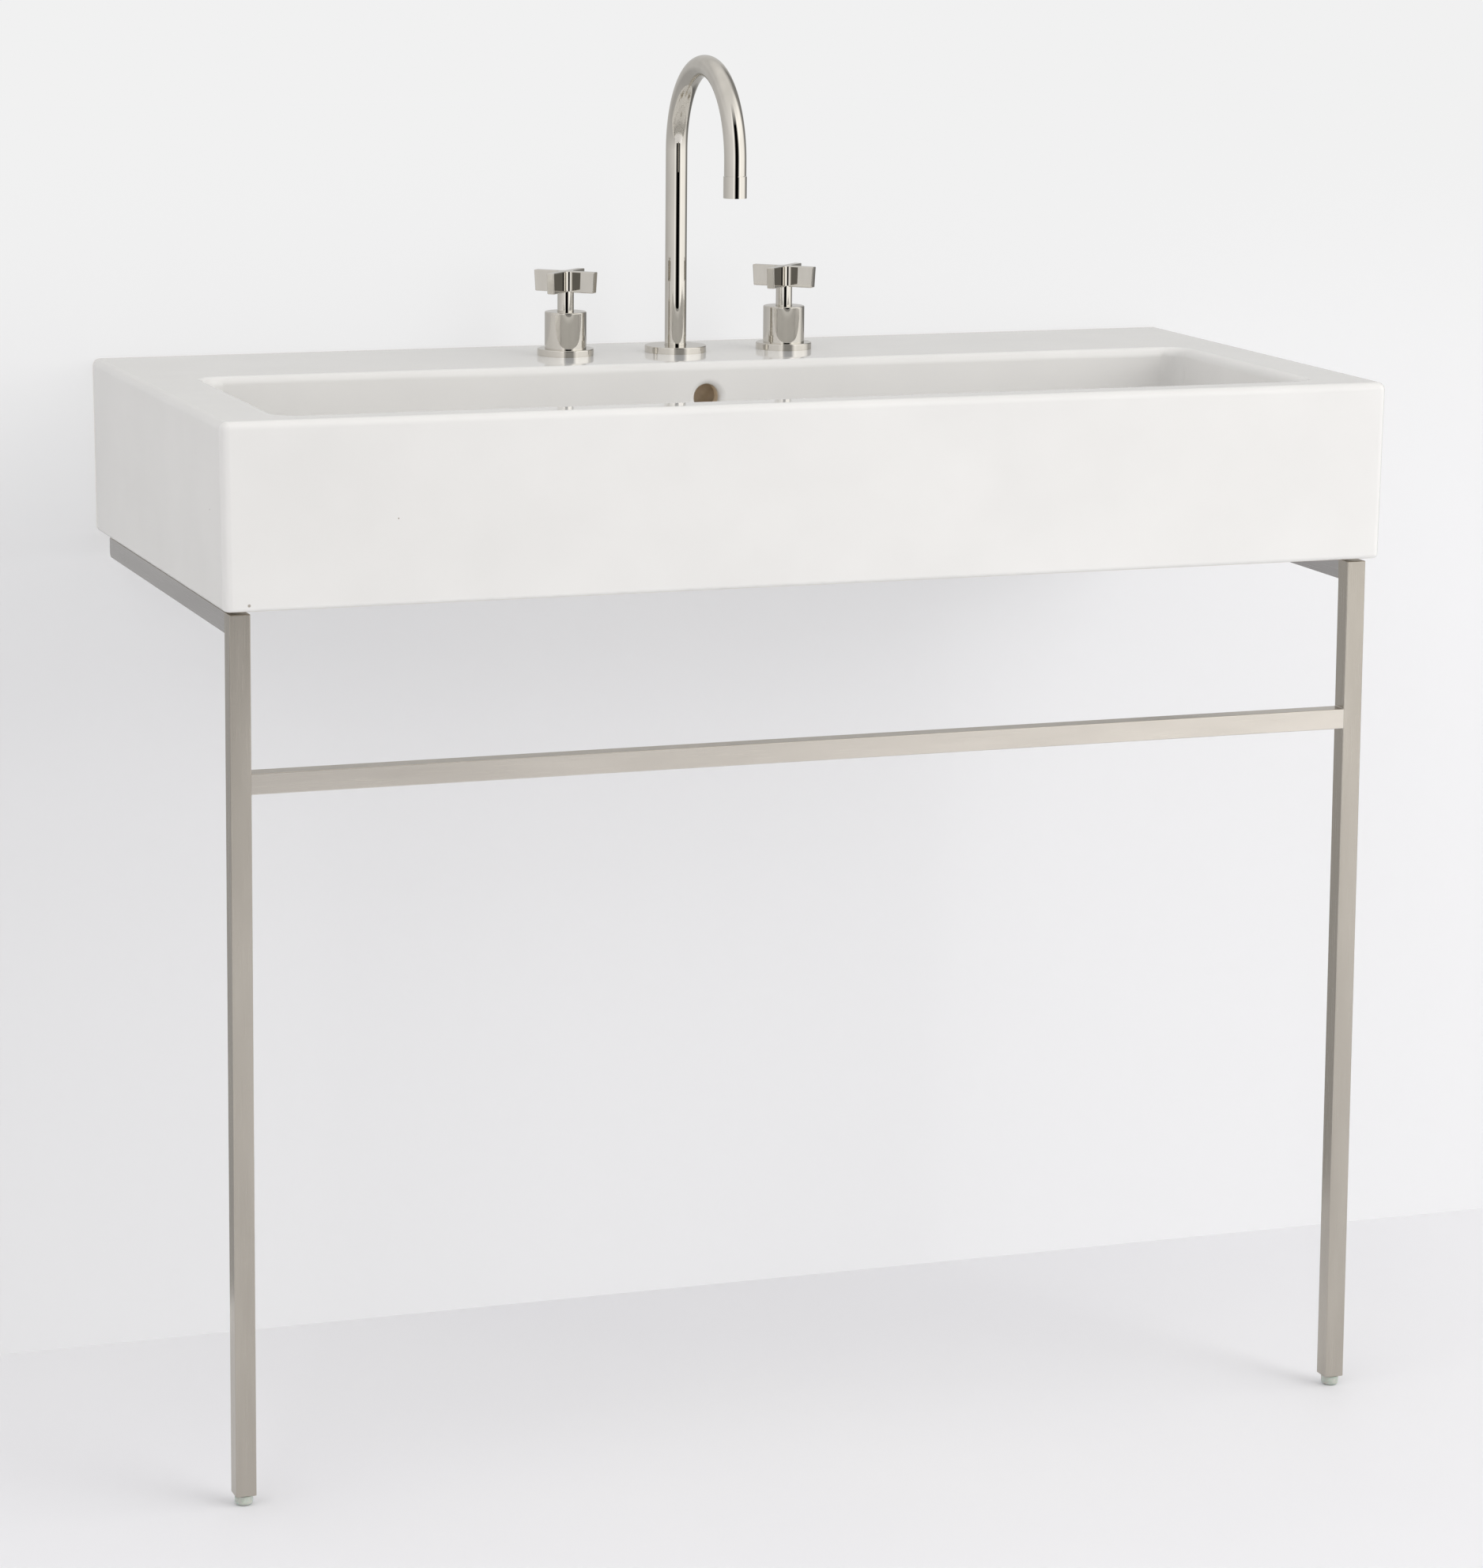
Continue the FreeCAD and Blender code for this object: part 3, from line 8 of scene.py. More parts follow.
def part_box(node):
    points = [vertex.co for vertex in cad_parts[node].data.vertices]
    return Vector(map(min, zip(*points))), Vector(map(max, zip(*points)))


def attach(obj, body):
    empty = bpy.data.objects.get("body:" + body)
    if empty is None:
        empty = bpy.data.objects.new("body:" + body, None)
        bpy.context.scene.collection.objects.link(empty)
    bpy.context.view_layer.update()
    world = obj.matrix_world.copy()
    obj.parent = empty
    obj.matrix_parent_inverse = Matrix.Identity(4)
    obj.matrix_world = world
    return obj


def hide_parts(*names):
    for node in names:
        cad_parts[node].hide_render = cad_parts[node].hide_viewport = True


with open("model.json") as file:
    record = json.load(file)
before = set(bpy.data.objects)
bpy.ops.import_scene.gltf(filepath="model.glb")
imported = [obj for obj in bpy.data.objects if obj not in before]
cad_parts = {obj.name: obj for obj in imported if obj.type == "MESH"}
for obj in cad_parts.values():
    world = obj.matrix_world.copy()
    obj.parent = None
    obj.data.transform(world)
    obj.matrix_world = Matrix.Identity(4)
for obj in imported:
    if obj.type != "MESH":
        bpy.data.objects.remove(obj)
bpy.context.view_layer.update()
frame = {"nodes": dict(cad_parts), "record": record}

# Every size is in metres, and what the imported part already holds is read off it.
MM = 0.001
LEG_LOW, LEG_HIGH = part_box("left_leg")
RAIL_LOW, RAIL_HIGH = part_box("left_rail")
BAR_LOW, BAR_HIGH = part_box("crossbar")
CAP_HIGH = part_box("rail_end_caps")[1]
BASIN_LOW, BASIN_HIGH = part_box("basin")
SPOUT_LOW, SPOUT_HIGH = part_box("spout")
HOUSING_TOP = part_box("aerator_housing")[1].z
WALL_Y = BASIN_HIGH.y


# ------------------------------------------------------------------ small helpers

def linear(colour):
    """An sRGB hex colour as linear RGBA."""
    parts = (int(colour[i:i + 2], 16) / 255 for i in (1, 3, 5))
    return (*(c / 12.92 if c <= 0.04045 else ((c + 0.055) / 1.055) ** 2.4 for c in parts), 1.0)


def add(tree, kind, inputs=None, stops=None, **settings):
    """Adds a node with its settings, its colour stops, and its values or links."""
    made = tree.nodes.new(kind)
    for name, value in settings.items():
        setattr(made, name, value)
    if stops:
        ramp = made.color_ramp.elements
        ramp.remove(ramp[1])
        ramp[0].position = stops[0][0]
        for place, colour in stops:
            element = ramp[0] if place == stops[0][0] else ramp.new(place)
            element.color = linear(colour) if isinstance(colour, str) else colour
    for socket, value in (inputs or {}).items():
        if isinstance(value, bpy.types.Node):
            value = value.outputs[0]
        if isinstance(value, bpy.types.NodeSocket):
            tree.links.new(value, made.inputs[socket])
        else:
            made.inputs[socket].default_value = value
    return made


def new_material(name):
    """An empty material, its node tree, and its object coordinates in metres."""
    made = bpy.data.materials.new(name)
    made.use_nodes = True
    made.node_tree.nodes.clear()
    where = add(made.node_tree, "ShaderNodeTexCoord").outputs["Object"]
    return made, made.node_tree, where


# ------------------------------------------------------------------ materials

# Nearly all of a noise's values lie between these two, and a pattern's tones are spread over them.
NOISE_LOW, NOISE_HIGH = 0.3, 0.7

# The fired glaze: its patterns' sizes, and the one flaw low on the basin's left front corner.
POOL_SIZE, WAVE_SIZE, SPECK_SPACING = 90 * MM, 24 * MM, 70 * MM
SPECK_CORE, SPECK_EDGE = 0.006, 0.010     # as shares of the spacing
KILN_MARK, MARK_STRENGTH = (-0.4815, -0.2316, 0.7372), 0.75
MARK_CORE, MARK_EDGE = 0.8 * MM, 1.6 * MM
CLAY_CLOUD, CLAY_GRIT = 6 * MM, 0.9 * MM
GLAZE_ROUGH, CLAY_ROUGH, GLAZE_IOR = 0.025, 0.75, 1.52
# How far the bare clay comes round from the back and up from the edge that stood in the kiln.
BACK_BAND, FOOT_BAND = 0.6 * MM, 0.4 * MM
# The overflow's duct in the ceramic: half its width and depth, its middle behind the bowl, its top.
DUCT_HALF, DUCT_MIDDLE, DUCT_TOP = 20 * MM, 0.092, 0.872


def glazed_fireclay():
    """Fireclay under a thick white glaze: a wet gloss over faint pooling, dull where it is bare."""
    made, tree, where = new_material("glazed_fireclay")
    pooled = add(tree, "ShaderNodeTexNoise", {
        "Vector": where, "Scale": 1 / POOL_SIZE, "Detail": 2.0})
    glaze = add(tree, "ShaderNodeValToRGB", {"Fac": pooled},
                stops=((NOISE_LOW, "#DAD9D7"), (NOISE_HIGH, "#DEDDDB")))
    # Iron specks about a millimetre across, a handful on the whole basin, as any fired glaze has.
    spots = add(tree, "ShaderNodeTexVoronoi", {"Vector": where, "Scale": 1 / SPECK_SPACING})
    speck = add(tree, "ShaderNodeMapRange", {
        "Value": spots.outputs["Distance"], "From Min": SPECK_CORE, "From Max": SPECK_EDGE,
        "To Min": 1.0, "To Max": 0.0})
    from_mark = add(tree, "ShaderNodeVectorMath", {0: where, 1: KILN_MARK}, operation="DISTANCE")
    mark = add(tree, "ShaderNodeMapRange", {
        "Value": from_mark.outputs["Value"], "From Min": MARK_CORE, "From Max": MARK_EDGE,
        "To Min": MARK_STRENGTH, "To Max": 0.0})
    flaw = add(tree, "ShaderNodeMath", {0: speck, 1: mark}, operation="MAXIMUM")
    specked = add(tree, "ShaderNodeMix", {
        "Factor": flaw, "A": glaze, "B": linear("#7E7262")}, data_type="RGBA")
    # Bare clay: the face against the wall, the edge it stood on, and the overflow's duct.
    place = add(tree, "ShaderNodeSeparateXYZ", {"Vector": where})
    behind = add(tree, "ShaderNodeMath", {
        0: place.outputs["Y"], 1: WALL_Y - BACK_BAND}, operation="GREATER_THAN")
    beneath = add(tree, "ShaderNodeMath", {
        0: place.outputs["Z"], 1: BASIN_LOW.z + FOOT_BAND}, operation="LESS_THAN")
    near_middle = add(tree, "ShaderNodeMath", {
        0: place.outputs["X"], 1: 0.0, 2: DUCT_HALF}, operation="COMPARE")
    past_bowl = add(tree, "ShaderNodeMath", {
        0: place.outputs["Y"], 1: DUCT_MIDDLE, 2: DUCT_HALF}, operation="COMPARE")
    under_deck = add(tree, "ShaderNodeMath", {
        0: place.outputs["Z"], 1: DUCT_TOP}, operation="LESS_THAN")
    in_duct = add(tree, "ShaderNodeMath", {0: near_middle, 1: past_bowl}, operation="MULTIPLY")
    in_duct = add(tree, "ShaderNodeMath", {0: in_duct, 1: under_deck}, operation="MULTIPLY")
    bare = add(tree, "ShaderNodeMath", {0: behind, 1: beneath}, operation="MAXIMUM")
    clay = add(tree, "ShaderNodeTexNoise", {
        "Vector": where, "Scale": 1 / CLAY_CLOUD, "Detail": 6.0})
    clay_tone = add(tree, "ShaderNodeValToRGB", {"Fac": clay},
                    stops=((NOISE_LOW, "#CFC6B6"), (NOISE_HIGH, "#DDD6C9")))
    duct_tone = add(tree, "ShaderNodeValToRGB", {"Fac": clay},
                    stops=((NOISE_LOW, "#DDCBB0"), (NOISE_HIGH, "#EDDCC4")))
    colour = add(tree, "ShaderNodeMix", {
        "Factor": bare, "A": specked.outputs["Result"], "B": clay_tone}, data_type="RGBA")
    colour = add(tree, "ShaderNodeMix", {
        "Factor": in_duct, "A": colour.outputs["Result"], "B": duct_tone}, data_type="RGBA")
    rough = add(tree, "ShaderNodeMapRange", {
        "Value": bare, "To Min": GLAZE_ROUGH, "To Max": CLAY_ROUGH})
    # The glaze ran a little as it melted and set in shallow waves. Bare clay is gritty instead.
    waves = add(tree, "ShaderNodeTexNoise", {
        "Vector": where, "Scale": 1 / WAVE_SIZE, "Detail": 1.0})
    grit = add(tree, "ShaderNodeTexNoise", {
        "Vector": where, "Scale": 1 / CLAY_GRIT, "Detail": 2.0})
    depth = add(tree, "ShaderNodeMix", {"Factor": bare, "A": waves, "B": grit}, data_type="FLOAT")
    relief = add(tree, "ShaderNodeBump", {"Height": depth, "Distance": 0.015 * MM})
    shader = add(tree, "ShaderNodeBsdfPrincipled", {
        "Base Color": colour.outputs["Result"], "Roughness": rough, "Normal": relief,
        "IOR": GLAZE_IOR})
    add(tree, "ShaderNodeOutputMaterial", {"Surface": shader})
    return made


# The scratches are 0.05 mm apart on the real tube, and drawn 0.4 mm apart so that they show.
STREAK_LONG, STREAK_WIDE = 60 * MM, 0.4 * MM
# Handling and heat leave softer clouds a hand's width long.
CLOUD_LONG, CLOUD_WIDE, CLOUD_SHARE = 110 * MM, 14 * MM, 0.6
BRUSHED_LOW, BRUSHED_HIGH = 0.34, 0.66


def brushed_stainless(name, along, low, high):
    """304 stainless tube, brushed lengthways: fine streaks, and highlights drawn out across them."""
    made, tree, where = new_material(name)
    fine = add(tree, "ShaderNodeMapping", {
        "Vector": where, "Scale": tuple(1 / STREAK_LONG if a else 1 / STREAK_WIDE for a in along)})
    streaks = add(tree, "ShaderNodeTexNoise", {
        "Vector": fine, "Scale": 1.0, "Detail": 4.0, "Roughness": 0.6})
    broad = add(tree, "ShaderNodeMapping", {
        "Vector": where, "Scale": tuple(1 / CLOUD_LONG if a else 1 / CLOUD_WIDE for a in along)})
    clouds = add(tree, "ShaderNodeTexNoise", {"Vector": broad, "Scale": 1.0, "Detail": 3.0})
    both = add(tree, "ShaderNodeMix", {
        "Factor": CLOUD_SHARE, "A": streaks, "B": clouds}, data_type="FLOAT")
    tone = add(tree, "ShaderNodeValToRGB", {"Fac": both},
               stops=((BRUSHED_LOW, low), (BRUSHED_HIGH, high)))
    rough = add(tree, "ShaderNodeMapRange", {
        "Value": streaks, "From Min": NOISE_LOW, "From Max": NOISE_HIGH,
        "To Min": 0.22, "To Max": 0.28})
    surface = add(tree, "ShaderNodeNewGeometry").outputs["Normal"]
    across = add(tree, "ShaderNodeVectorMath", {0: surface, 1: along}, operation="CROSS_PRODUCT")
    relief = add(tree, "ShaderNodeBump", {
        "Height": streaks, "Distance": 0.01 * MM, "Strength": 0.3})
    shader = add(tree, "ShaderNodeBsdfPrincipled", {
        "Base Color": tone, "Metallic": 1.0, "Roughness": rough, "Anisotropic": 0.5,
        "Tangent": across, "Normal": relief})
    add(tree, "ShaderNodeOutputMaterial", {"Surface": shader})
    return made


# A cloth wipes the taps up and down, so its marks are taller than wide.
WIPE_WIDE, WIPE_TALL = 9 * MM, 26 * MM


def polished_nickel():
    """Brass under bright nickel plate: a warm, deep mirror, with the faintest wipe marks."""
    made, tree, where = new_material("polished_nickel")
    stretched = add(tree, "ShaderNodeMapping", {
        "Vector": where, "Scale": (1 / WIPE_WIDE, 1 / WIPE_WIDE, 1 / WIPE_TALL)})
    wiped = add(tree, "ShaderNodeTexNoise", {"Vector": stretched, "Scale": 1.0, "Detail": 3.0})
    tone = add(tree, "ShaderNodeValToRGB", {"Fac": wiped},
               stops=((NOISE_LOW, "#D0CCC4"), (NOISE_HIGH, "#D6D2CA")))
    rough = add(tree, "ShaderNodeMapRange", {
        "Value": wiped, "From Min": NOISE_LOW, "From Max": NOISE_HIGH,
        "To Min": 0.006, "To Max": 0.022})
    shader = add(tree, "ShaderNodeBsdfPrincipled", {
        "Base Color": tone, "Metallic": 1.0, "Roughness": rough})
    add(tree, "ShaderNodeOutputMaterial", {"Surface": shader})
    return made


def working_metal(name, low, high, size, smooth, rough):
    """Bare metal as it left the lathe or the die, uneven in tone and gloss."""
    made, tree, where = new_material(name)
    skin = add(tree, "ShaderNodeTexNoise", {"Vector": where, "Scale": 1 / size, "Detail": 5.0})
    tone = add(tree, "ShaderNodeValToRGB", {"Fac": skin},
               stops=((NOISE_LOW, low), (NOISE_HIGH, high)))
    gloss = add(tree, "ShaderNodeMapRange", {
        "Value": skin, "From Min": NOISE_LOW, "From Max": NOISE_HIGH,
        "To Min": smooth, "To Max": rough})
    relief = add(tree, "ShaderNodeBump", {"Height": skin, "Distance": 0.03 * MM, "Strength": 0.6})
    shader = add(tree, "ShaderNodeBsdfPrincipled", {
        "Base Color": tone, "Metallic": 1.0, "Roughness": gloss, "Normal": relief})
    add(tree, "ShaderNodeOutputMaterial", {"Surface": shader})
    return made


def moulded(name, low, high, size, smooth, rough, within=None):
    """Rubber or plastic from a mould, dull and grained. within says how light goes into it."""
    made, tree, where = new_material(name)
    # The real grain is about 0.1 mm wide, and is drawn a few millimetres wide so that it shows.
    skin = add(tree, "ShaderNodeTexNoise", {"Vector": where, "Scale": 1 / size, "Detail": 4.0})
    tone = add(tree, "ShaderNodeValToRGB", {"Fac": skin},
               stops=((NOISE_LOW, low), (NOISE_HIGH, high)))
    gloss = add(tree, "ShaderNodeMapRange", {
        "Value": skin, "From Min": NOISE_LOW, "From Max": NOISE_HIGH,
        "To Min": smooth, "To Max": rough})
    relief = add(tree, "ShaderNodeBump", {"Height": skin, "Distance": 0.02 * MM, "Strength": 0.5})
    shader = add(tree, "ShaderNodeBsdfPrincipled", {
        "Base Color": tone, "Roughness": gloss, "Normal": relief, **(within or {})})
    add(tree, "ShaderNodeOutputMaterial", {"Surface": shader})
    return made


# One grade of steel, in a copy for each brushing direction. The bar's paler tones are painted light,
# for the bright band it mirrors, and the rail's cooler grey is painted reflection of the cooler
# studio on the left.
UPRIGHT = brushed_stainless("brushed_stainless_upright", (0.0, 0.0, 1.0), "#B2ACA2", "#BDB7AD")
ALONG_BAR = brushed_stainless("brushed_stainless_bar_painted_light", (1.0, 0.0, 0.0), "#CCC6BD", "#D6D0C7")
ALONG_RAIL = brushed_stainless("brushed_stainless_rail_painted_reflection", (0.0, 1.0, 0.0), "#B4B2B1", "#BFBDBC")
FINISHES = {
    "white_glaze": glazed_fireclay(),
    "brushed_stainless": ALONG_RAIL,
    "polished_nickel": polished_nickel(),
    # Turned brass, dull gold where it stays hidden and isn't plated.
    "raw_brass": working_metal("turned_brass", "#B08F55", "#C9A96A", 2.5 * MM, 0.22, 0.4),
    # Drawn copper, half bright, browning a little.
    "copper_tube": working_metal("drawn_copper", "#A9664A", "#C98364", 6 * MM, 0.25, 0.45),
    # Zinc-plated steel, pale and slightly blue.
    "screw_steel": working_metal("zinc_plated_steel", "#8D9095", "#A9ACB1", 1.5 * MM, 0.3, 0.45),
    # Nitrile rubber, near black and dull.
    "black_rubber": moulded("nitrile_rubber", "#1C1C1D", "#2A2A2B", 1.2 * MM, 0.55, 0.75),
    # Natural nylon: milky grey-green, and light goes a little way into it.
    "foot_plastic": moulded("natural_nylon", "#A9AFA6", "#BDC2B9", 3 * MM, 0.3, 0.45,
                            {"Subsurface Weight": 0.3, "Subsurface Scale": 2 * MM}),
    # Acetal, a plain mid grey.
    "grey_plastic": moulded("grey_acetal", "#7C7F82", "#8E9194", 2 * MM, 0.35, 0.5),
}

for part in frame["record"]["subparts"]:
    materials = frame["nodes"][part["node"]].data.materials
    materials.clear()
    materials.append(FINISHES[part["material_slot"]])


# ------------------------------------------------------------------ modelling

NEAR = 0.1 * MM      # corners this close to a plane count as lying in it
HAIR = 0.01 * MM     # and the middles of faces this close to one


def alone(piece):
    """Selects one object and nothing else."""
    bpy.ops.object.select_all(action="DESELECT")
    piece.select_set(True)
    bpy.context.view_layer.objects.active = piece


def block(name, low, high):
    """A block between two corners, its place in its mesh."""
    bpy.ops.object.select_all(action="DESELECT")
    low, high = Vector(low), Vector(high)
    bpy.ops.mesh.primitive_cube_add(size=1, location=(low + high) / 2, scale=high - low)
    piece = bpy.context.active_object
    piece.name = piece.data.name = name
    bpy.ops.object.transform_apply(location=True, rotation=True, scale=True)
    return piece


def rod(name, centre, radius, length):
    """An upright round bar, its place in its mesh."""
    bpy.ops.object.select_all(action="DESELECT")
    bpy.ops.mesh.primitive_cylinder_add(vertices=32, radius=radius, depth=length, location=centre)
    piece = bpy.context.active_object
    piece.name = piece.data.name = name
    bpy.ops.object.transform_apply(location=True, rotation=True, scale=True)
    return piece


def apply_modifier(piece, kind, **settings):
    """Adds one modifier and applies it."""
    alone(piece)
    made = piece.modifiers.new(kind.lower(), kind)
    for name, value in settings.items():
        setattr(made, name, value)
    bpy.ops.object.modifier_apply(modifier=made.name)


def combine(piece, others, operation):
    """Welds the others on, or cuts them out, and clears them away."""
    for other in others:
        apply_modifier(piece, "BOOLEAN", operation=operation, solver="EXACT", object=other)
        bpy.data.objects.remove(other)


def pick(piece, mode, wanted):
    """Edit mode with only the wanted faces or edges selected."""
    alone(piece)
    bpy.ops.object.mode_set(mode="EDIT")
    bpy.ops.mesh.select_mode(type=mode)
    bpy.ops.mesh.select_all(action="DESELECT")
    bpy.ops.object.mode_set(mode="OBJECT")
    for element in piece.data.polygons if mode == "FACE" else piece.data.edges:
        element.select = wanted(element)
    bpy.ops.object.mode_set(mode="EDIT")


# The frame: upright and rail on each side, towel bar between, welded and ground flush.
TUBE_CORNER = 1.3 * MM
TUBE_WALL = 1.5 * MM
BUSH_DEPTH = 22.5 * MM
CAP_ROUND = 5 * MM
BITE = 4 * MM            # how far one member runs into the next before they are welded
# The holes under the rails that the screws' heads go up through.
HEAD_HOLE = 7.0 * MM     # radius
HEAD_DEPTH = 12 * MM     # length of the cutter
HEAD_MIDDLE = 2 * MM     # the cutter's middle, above the rail's underside
SCREW_Y = (-129.5 * MM, 146.5 * MM)


def welded_frame():
    """Both uprights, both rails and the bar as one skin with softened edges."""
    width = LEG_HIGH.x - LEG_LOW.x
    outside, inside = abs(LEG_LOW.x), abs(LEG_HIGH.x)
    members = []
    for side in (-1, 1):
        left, right = sorted((side * outside, side * (outside - width)))
        members.append(block("upright", (left, LEG_LOW.y, LEG_LOW.z),
                             (right, LEG_HIGH.y, LEG_HIGH.z)))
        members.append(block("rail", (left, RAIL_LOW.y - BITE, RAIL_LOW.z),
                             (right, CAP_HIGH.y, RAIL_HIGH.z)))
    members.append(block("bar", (BAR_LOW.x - BITE, BAR_LOW.y, BAR_LOW.z),
                         (BAR_HIGH.x + BITE, BAR_HIGH.y, BAR_HIGH.z)))
    skin = members.pop(0)
    combine(skin, members, "UNION")
    apply_modifier(skin, "DECIMATE", decimate_type="DISSOLVE", angle_limit=math.radians(1))

    def cap_corner(edge):
        """Whether it is the lower edge at a rail's back end."""
        ends = [skin.data.vertices[v].co for v in edge.vertices]
        return all(abs(p.y - CAP_HIGH.y) < NEAR and abs(p.z - RAIL_LOW.z) < NEAR for p in ends)

    pick(skin, "EDGE", cap_corner)
    bpy.ops.mesh.bevel(offset=CAP_ROUND, segments=6)
    bpy.ops.object.mode_set(mode="OBJECT")
    # Open the feet of the uprights for their threaded bushes.
    pick(skin, "FACE", lambda f: f.normal.z < -0.9 and f.center.z < LEG_LOW.z + MM)
    bpy.ops.mesh.inset(thickness=TUBE_WALL, use_individual=True)
    bpy.ops.mesh.extrude_region_move(TRANSFORM_OT_translate={"value": (0, 0, BUSH_DEPTH)})
    bpy.ops.object.mode_set(mode="OBJECT")
    apply_modifier(skin, "BEVEL", width=TUBE_CORNER, segments=3,
                   limit_method="ANGLE", angle_limit=math.radians(40))
    holes = [rod("hole", (side * (outside - width / 2), y, RAIL_LOW.z + HEAD_MIDDLE),
                 HEAD_HOLE, HEAD_DEPTH)
             for side in (-1, 1) for y in SCREW_Y]
    combine(skin, holes, "DIFFERENCE")
    # A line across the skin where the brushing turns from one member to the next.
    along_x, along_y = (1, 0, 0), (0, 1, 0)
    for place, normal in (((inside, 0, 0), along_x), ((-inside, 0, 0), along_x),
                          ((0, LEG_HIGH.y, 0), along_y)):
        pick(skin, "FACE", lambda f: True)
        bpy.ops.mesh.bisect(plane_co=place, plane_no=normal)
        bpy.ops.object.mode_set(mode="OBJECT")
    alone(skin)
    bpy.ops.object.shade_smooth_by_angle(angle=math.radians(50))
    apply_modifier(skin, "WEIGHTED_NORMAL", keep_sharp=True, weight=80)
    skin.data.materials.clear()
    for finish in (UPRIGHT, ALONG_BAR, ALONG_RAIL):
        skin.data.materials.append(finish)
    for face in skin.data.polygons:
        if abs(face.center.x) < inside - HAIR:
            face.material_index = 1
        elif face.center.y > LEG_HIGH.y + HAIR:
            face.material_index = 2
    skin.name = skin.data.name = "welded_frame"
    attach(skin, "sink")
    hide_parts("left_leg", "right_leg", "left_rail", "right_rail", "crossbar", "rail_end_caps")


welded_frame()

# The spout: one bent tube, upright from the rose, half a circle over, and a short end into the
# housing. The housing screws 7 mm into the tube, and the joint shows as a hair line.
SPOUT_WALL = 1.5 * MM
SCREWED_IN, JOINT = 7 * MM, 0.3 * MM
SPOUT_END = HOUSING_TOP - SCREWED_IN + JOINT
TUBE_SIDES, ARCH_STEPS = 96, 96


def spout_tube():
    """The bent tube, drawn smoothly enough for its mirror finish."""
    radius = SPOUT_HIGH.x
    back, front = SPOUT_HIGH.y - radius, SPOUT_LOW.y + radius
    reach = (back - front) / 2
    spring = SPOUT_HIGH.z - radius - reach
    bpy.ops.object.select_all(action="DESELECT")
    bpy.ops.mesh.primitive_cylinder_add(
        vertices=TUBE_SIDES, radius=radius, depth=spring - SPOUT_LOW.z, end_fill_type="NOTHING",
        location=(0, back, (spring + SPOUT_LOW.z) / 2))
    tube = bpy.context.active_object
    bpy.ops.object.transform_apply(location=True, rotation=True, scale=True)
    pick(tube, "EDGE",
         lambda e: all(tube.data.vertices[v].co.z > spring - NEAR for v in e.vertices))
    bpy.ops.mesh.spin(steps=ARCH_STEPS, angle=math.pi, center=(0, (back + front) / 2, spring),
                      axis=(-1, 0, 0))
    bpy.ops.mesh.extrude_region_move(TRANSFORM_OT_translate={"value": (0, 0, SPOUT_END - spring)})
    bpy.ops.mesh.select_all(action="SELECT")
    bpy.ops.mesh.normals_make_consistent(inside=False)
    bpy.ops.object.mode_set(mode="OBJECT")
    apply_modifier(tube, "SOLIDIFY", thickness=SPOUT_WALL, offset=-1)
    bpy.ops.object.shade_smooth_by_angle(angle=math.radians(40))
    tube.name = tube.data.name = "spout_tube"
    tube.data.materials.clear()
    tube.data.materials.append(FINISHES["polished_nickel"])
    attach(tube, "spout")
    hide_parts("spout")


spout_tube()


# ------------------------------------------------------------------ room, light and camera

BACKDROP = "#F1F1F1"     # what lies behind the object wherever no paint is seen
FLOOR_CLOUD = 600 * MM
# The wall's paint carries painted shade, darkening from its middle to the left, and upwards it gives
# way to the even backdrop.
WALL_SHADED_X, WALL_UNSHADED_X = -1.0, 0.0
EVEN_FROM_Z, EVEN_TO_Z, LEAST_EVEN = 0.55, 1.1, 0.3


def floor_paint():
    """Pale matt paint, very slightly uneven."""
    made, tree, where = new_material("pale_floor_paint")
    rolled = add(tree, "ShaderNodeTexNoise", {
        "Vector": where, "Scale": 1 / FLOOR_CLOUD, "Detail": 2.0})
    tone = add(tree, "ShaderNodeValToRGB", {"Fac": rolled},
               stops=((NOISE_LOW, "#E6E6E9"), (NOISE_HIGH, "#E9E9EB")))
    shader = add(tree, "ShaderNodeBsdfPrincipled", {
        "Base Color": tone, "Roughness": 0.55, "Specular IOR Level": 0.2})
    add(tree, "ShaderNodeOutputMaterial", {"Surface": shader})
    return made


def wall_paint():
    """Pale matt paint with painted shade to the left, even above the basin, and clear when seen from
    behind.
    """
    made, tree, where = new_material("pale_wall_paint")
    place = add(tree, "ShaderNodeSeparateXYZ", {"Vector": where})
    # Painted shade: the paint darkens from the middle to the left, standing in for the light falling
    # off there.
    across = add(tree, "ShaderNodeMapRange", {
        "Value": place.outputs["X"], "From Min": WALL_SHADED_X, "From Max": WALL_UNSHADED_X})
    tone = add(tree, "ShaderNodeValToRGB", {"Fac": across},
               stops=((0.0, "#D5D5D7"), (1.0, "#E6E6E8")))
    even = add(tree, "ShaderNodeMapRange", {
        "Value": place.outputs["Z"], "From Min": EVEN_FROM_Z, "From Max": EVEN_TO_Z,
        "To Min": LEAST_EVEN}, interpolation_type="SMOOTHSTEP")
    matt = add(tree, "ShaderNodeBsdfDiffuse", {"Color": tone})
    washed = add(tree, "ShaderNodeEmission", {"Color": linear(BACKDROP), "Strength": 1.0})
    front = add(tree, "ShaderNodeMixShader", {0: even, 1: matt, 2: washed})
    clear = add(tree, "ShaderNodeBsdfTransparent")
    behind = add(tree, "ShaderNodeNewGeometry").outputs["Backfacing"]
    add(tree, "ShaderNodeOutputMaterial", {
        "Surface": add(tree, "ShaderNodeMixShader", {0: behind, 1: front, 2: clear})})
    return made


def board(name, size, location, tilt, material):
    """A flat board of the room, not part of the object. Its pattern stays on world coordinates."""
    bpy.ops.object.select_all(action="DESELECT")
    bpy.ops.mesh.primitive_plane_add(size=size, location=location, rotation=(tilt, 0, 0))
    made = bpy.context.active_object
    made.name = name
    bpy.ops.object.transform_apply(location=True, rotation=True, scale=True)
    made.data.materials.append(material)
    return made


# The near floor ends just behind the wall, and the far floor lies a hair below it. The metal
# mirrors neither the far floor nor the wall, and shows the studio there instead.
NEAR_SIZE, NEAR_Y = 4.4, WALL_Y - 2.1
FAR_SIZE, FAR_Z = 60, -0.1 * MM
WALL_SIZE, WALL_GAP, WALL_FOOT = 8, 1 * MM, -2 * MM

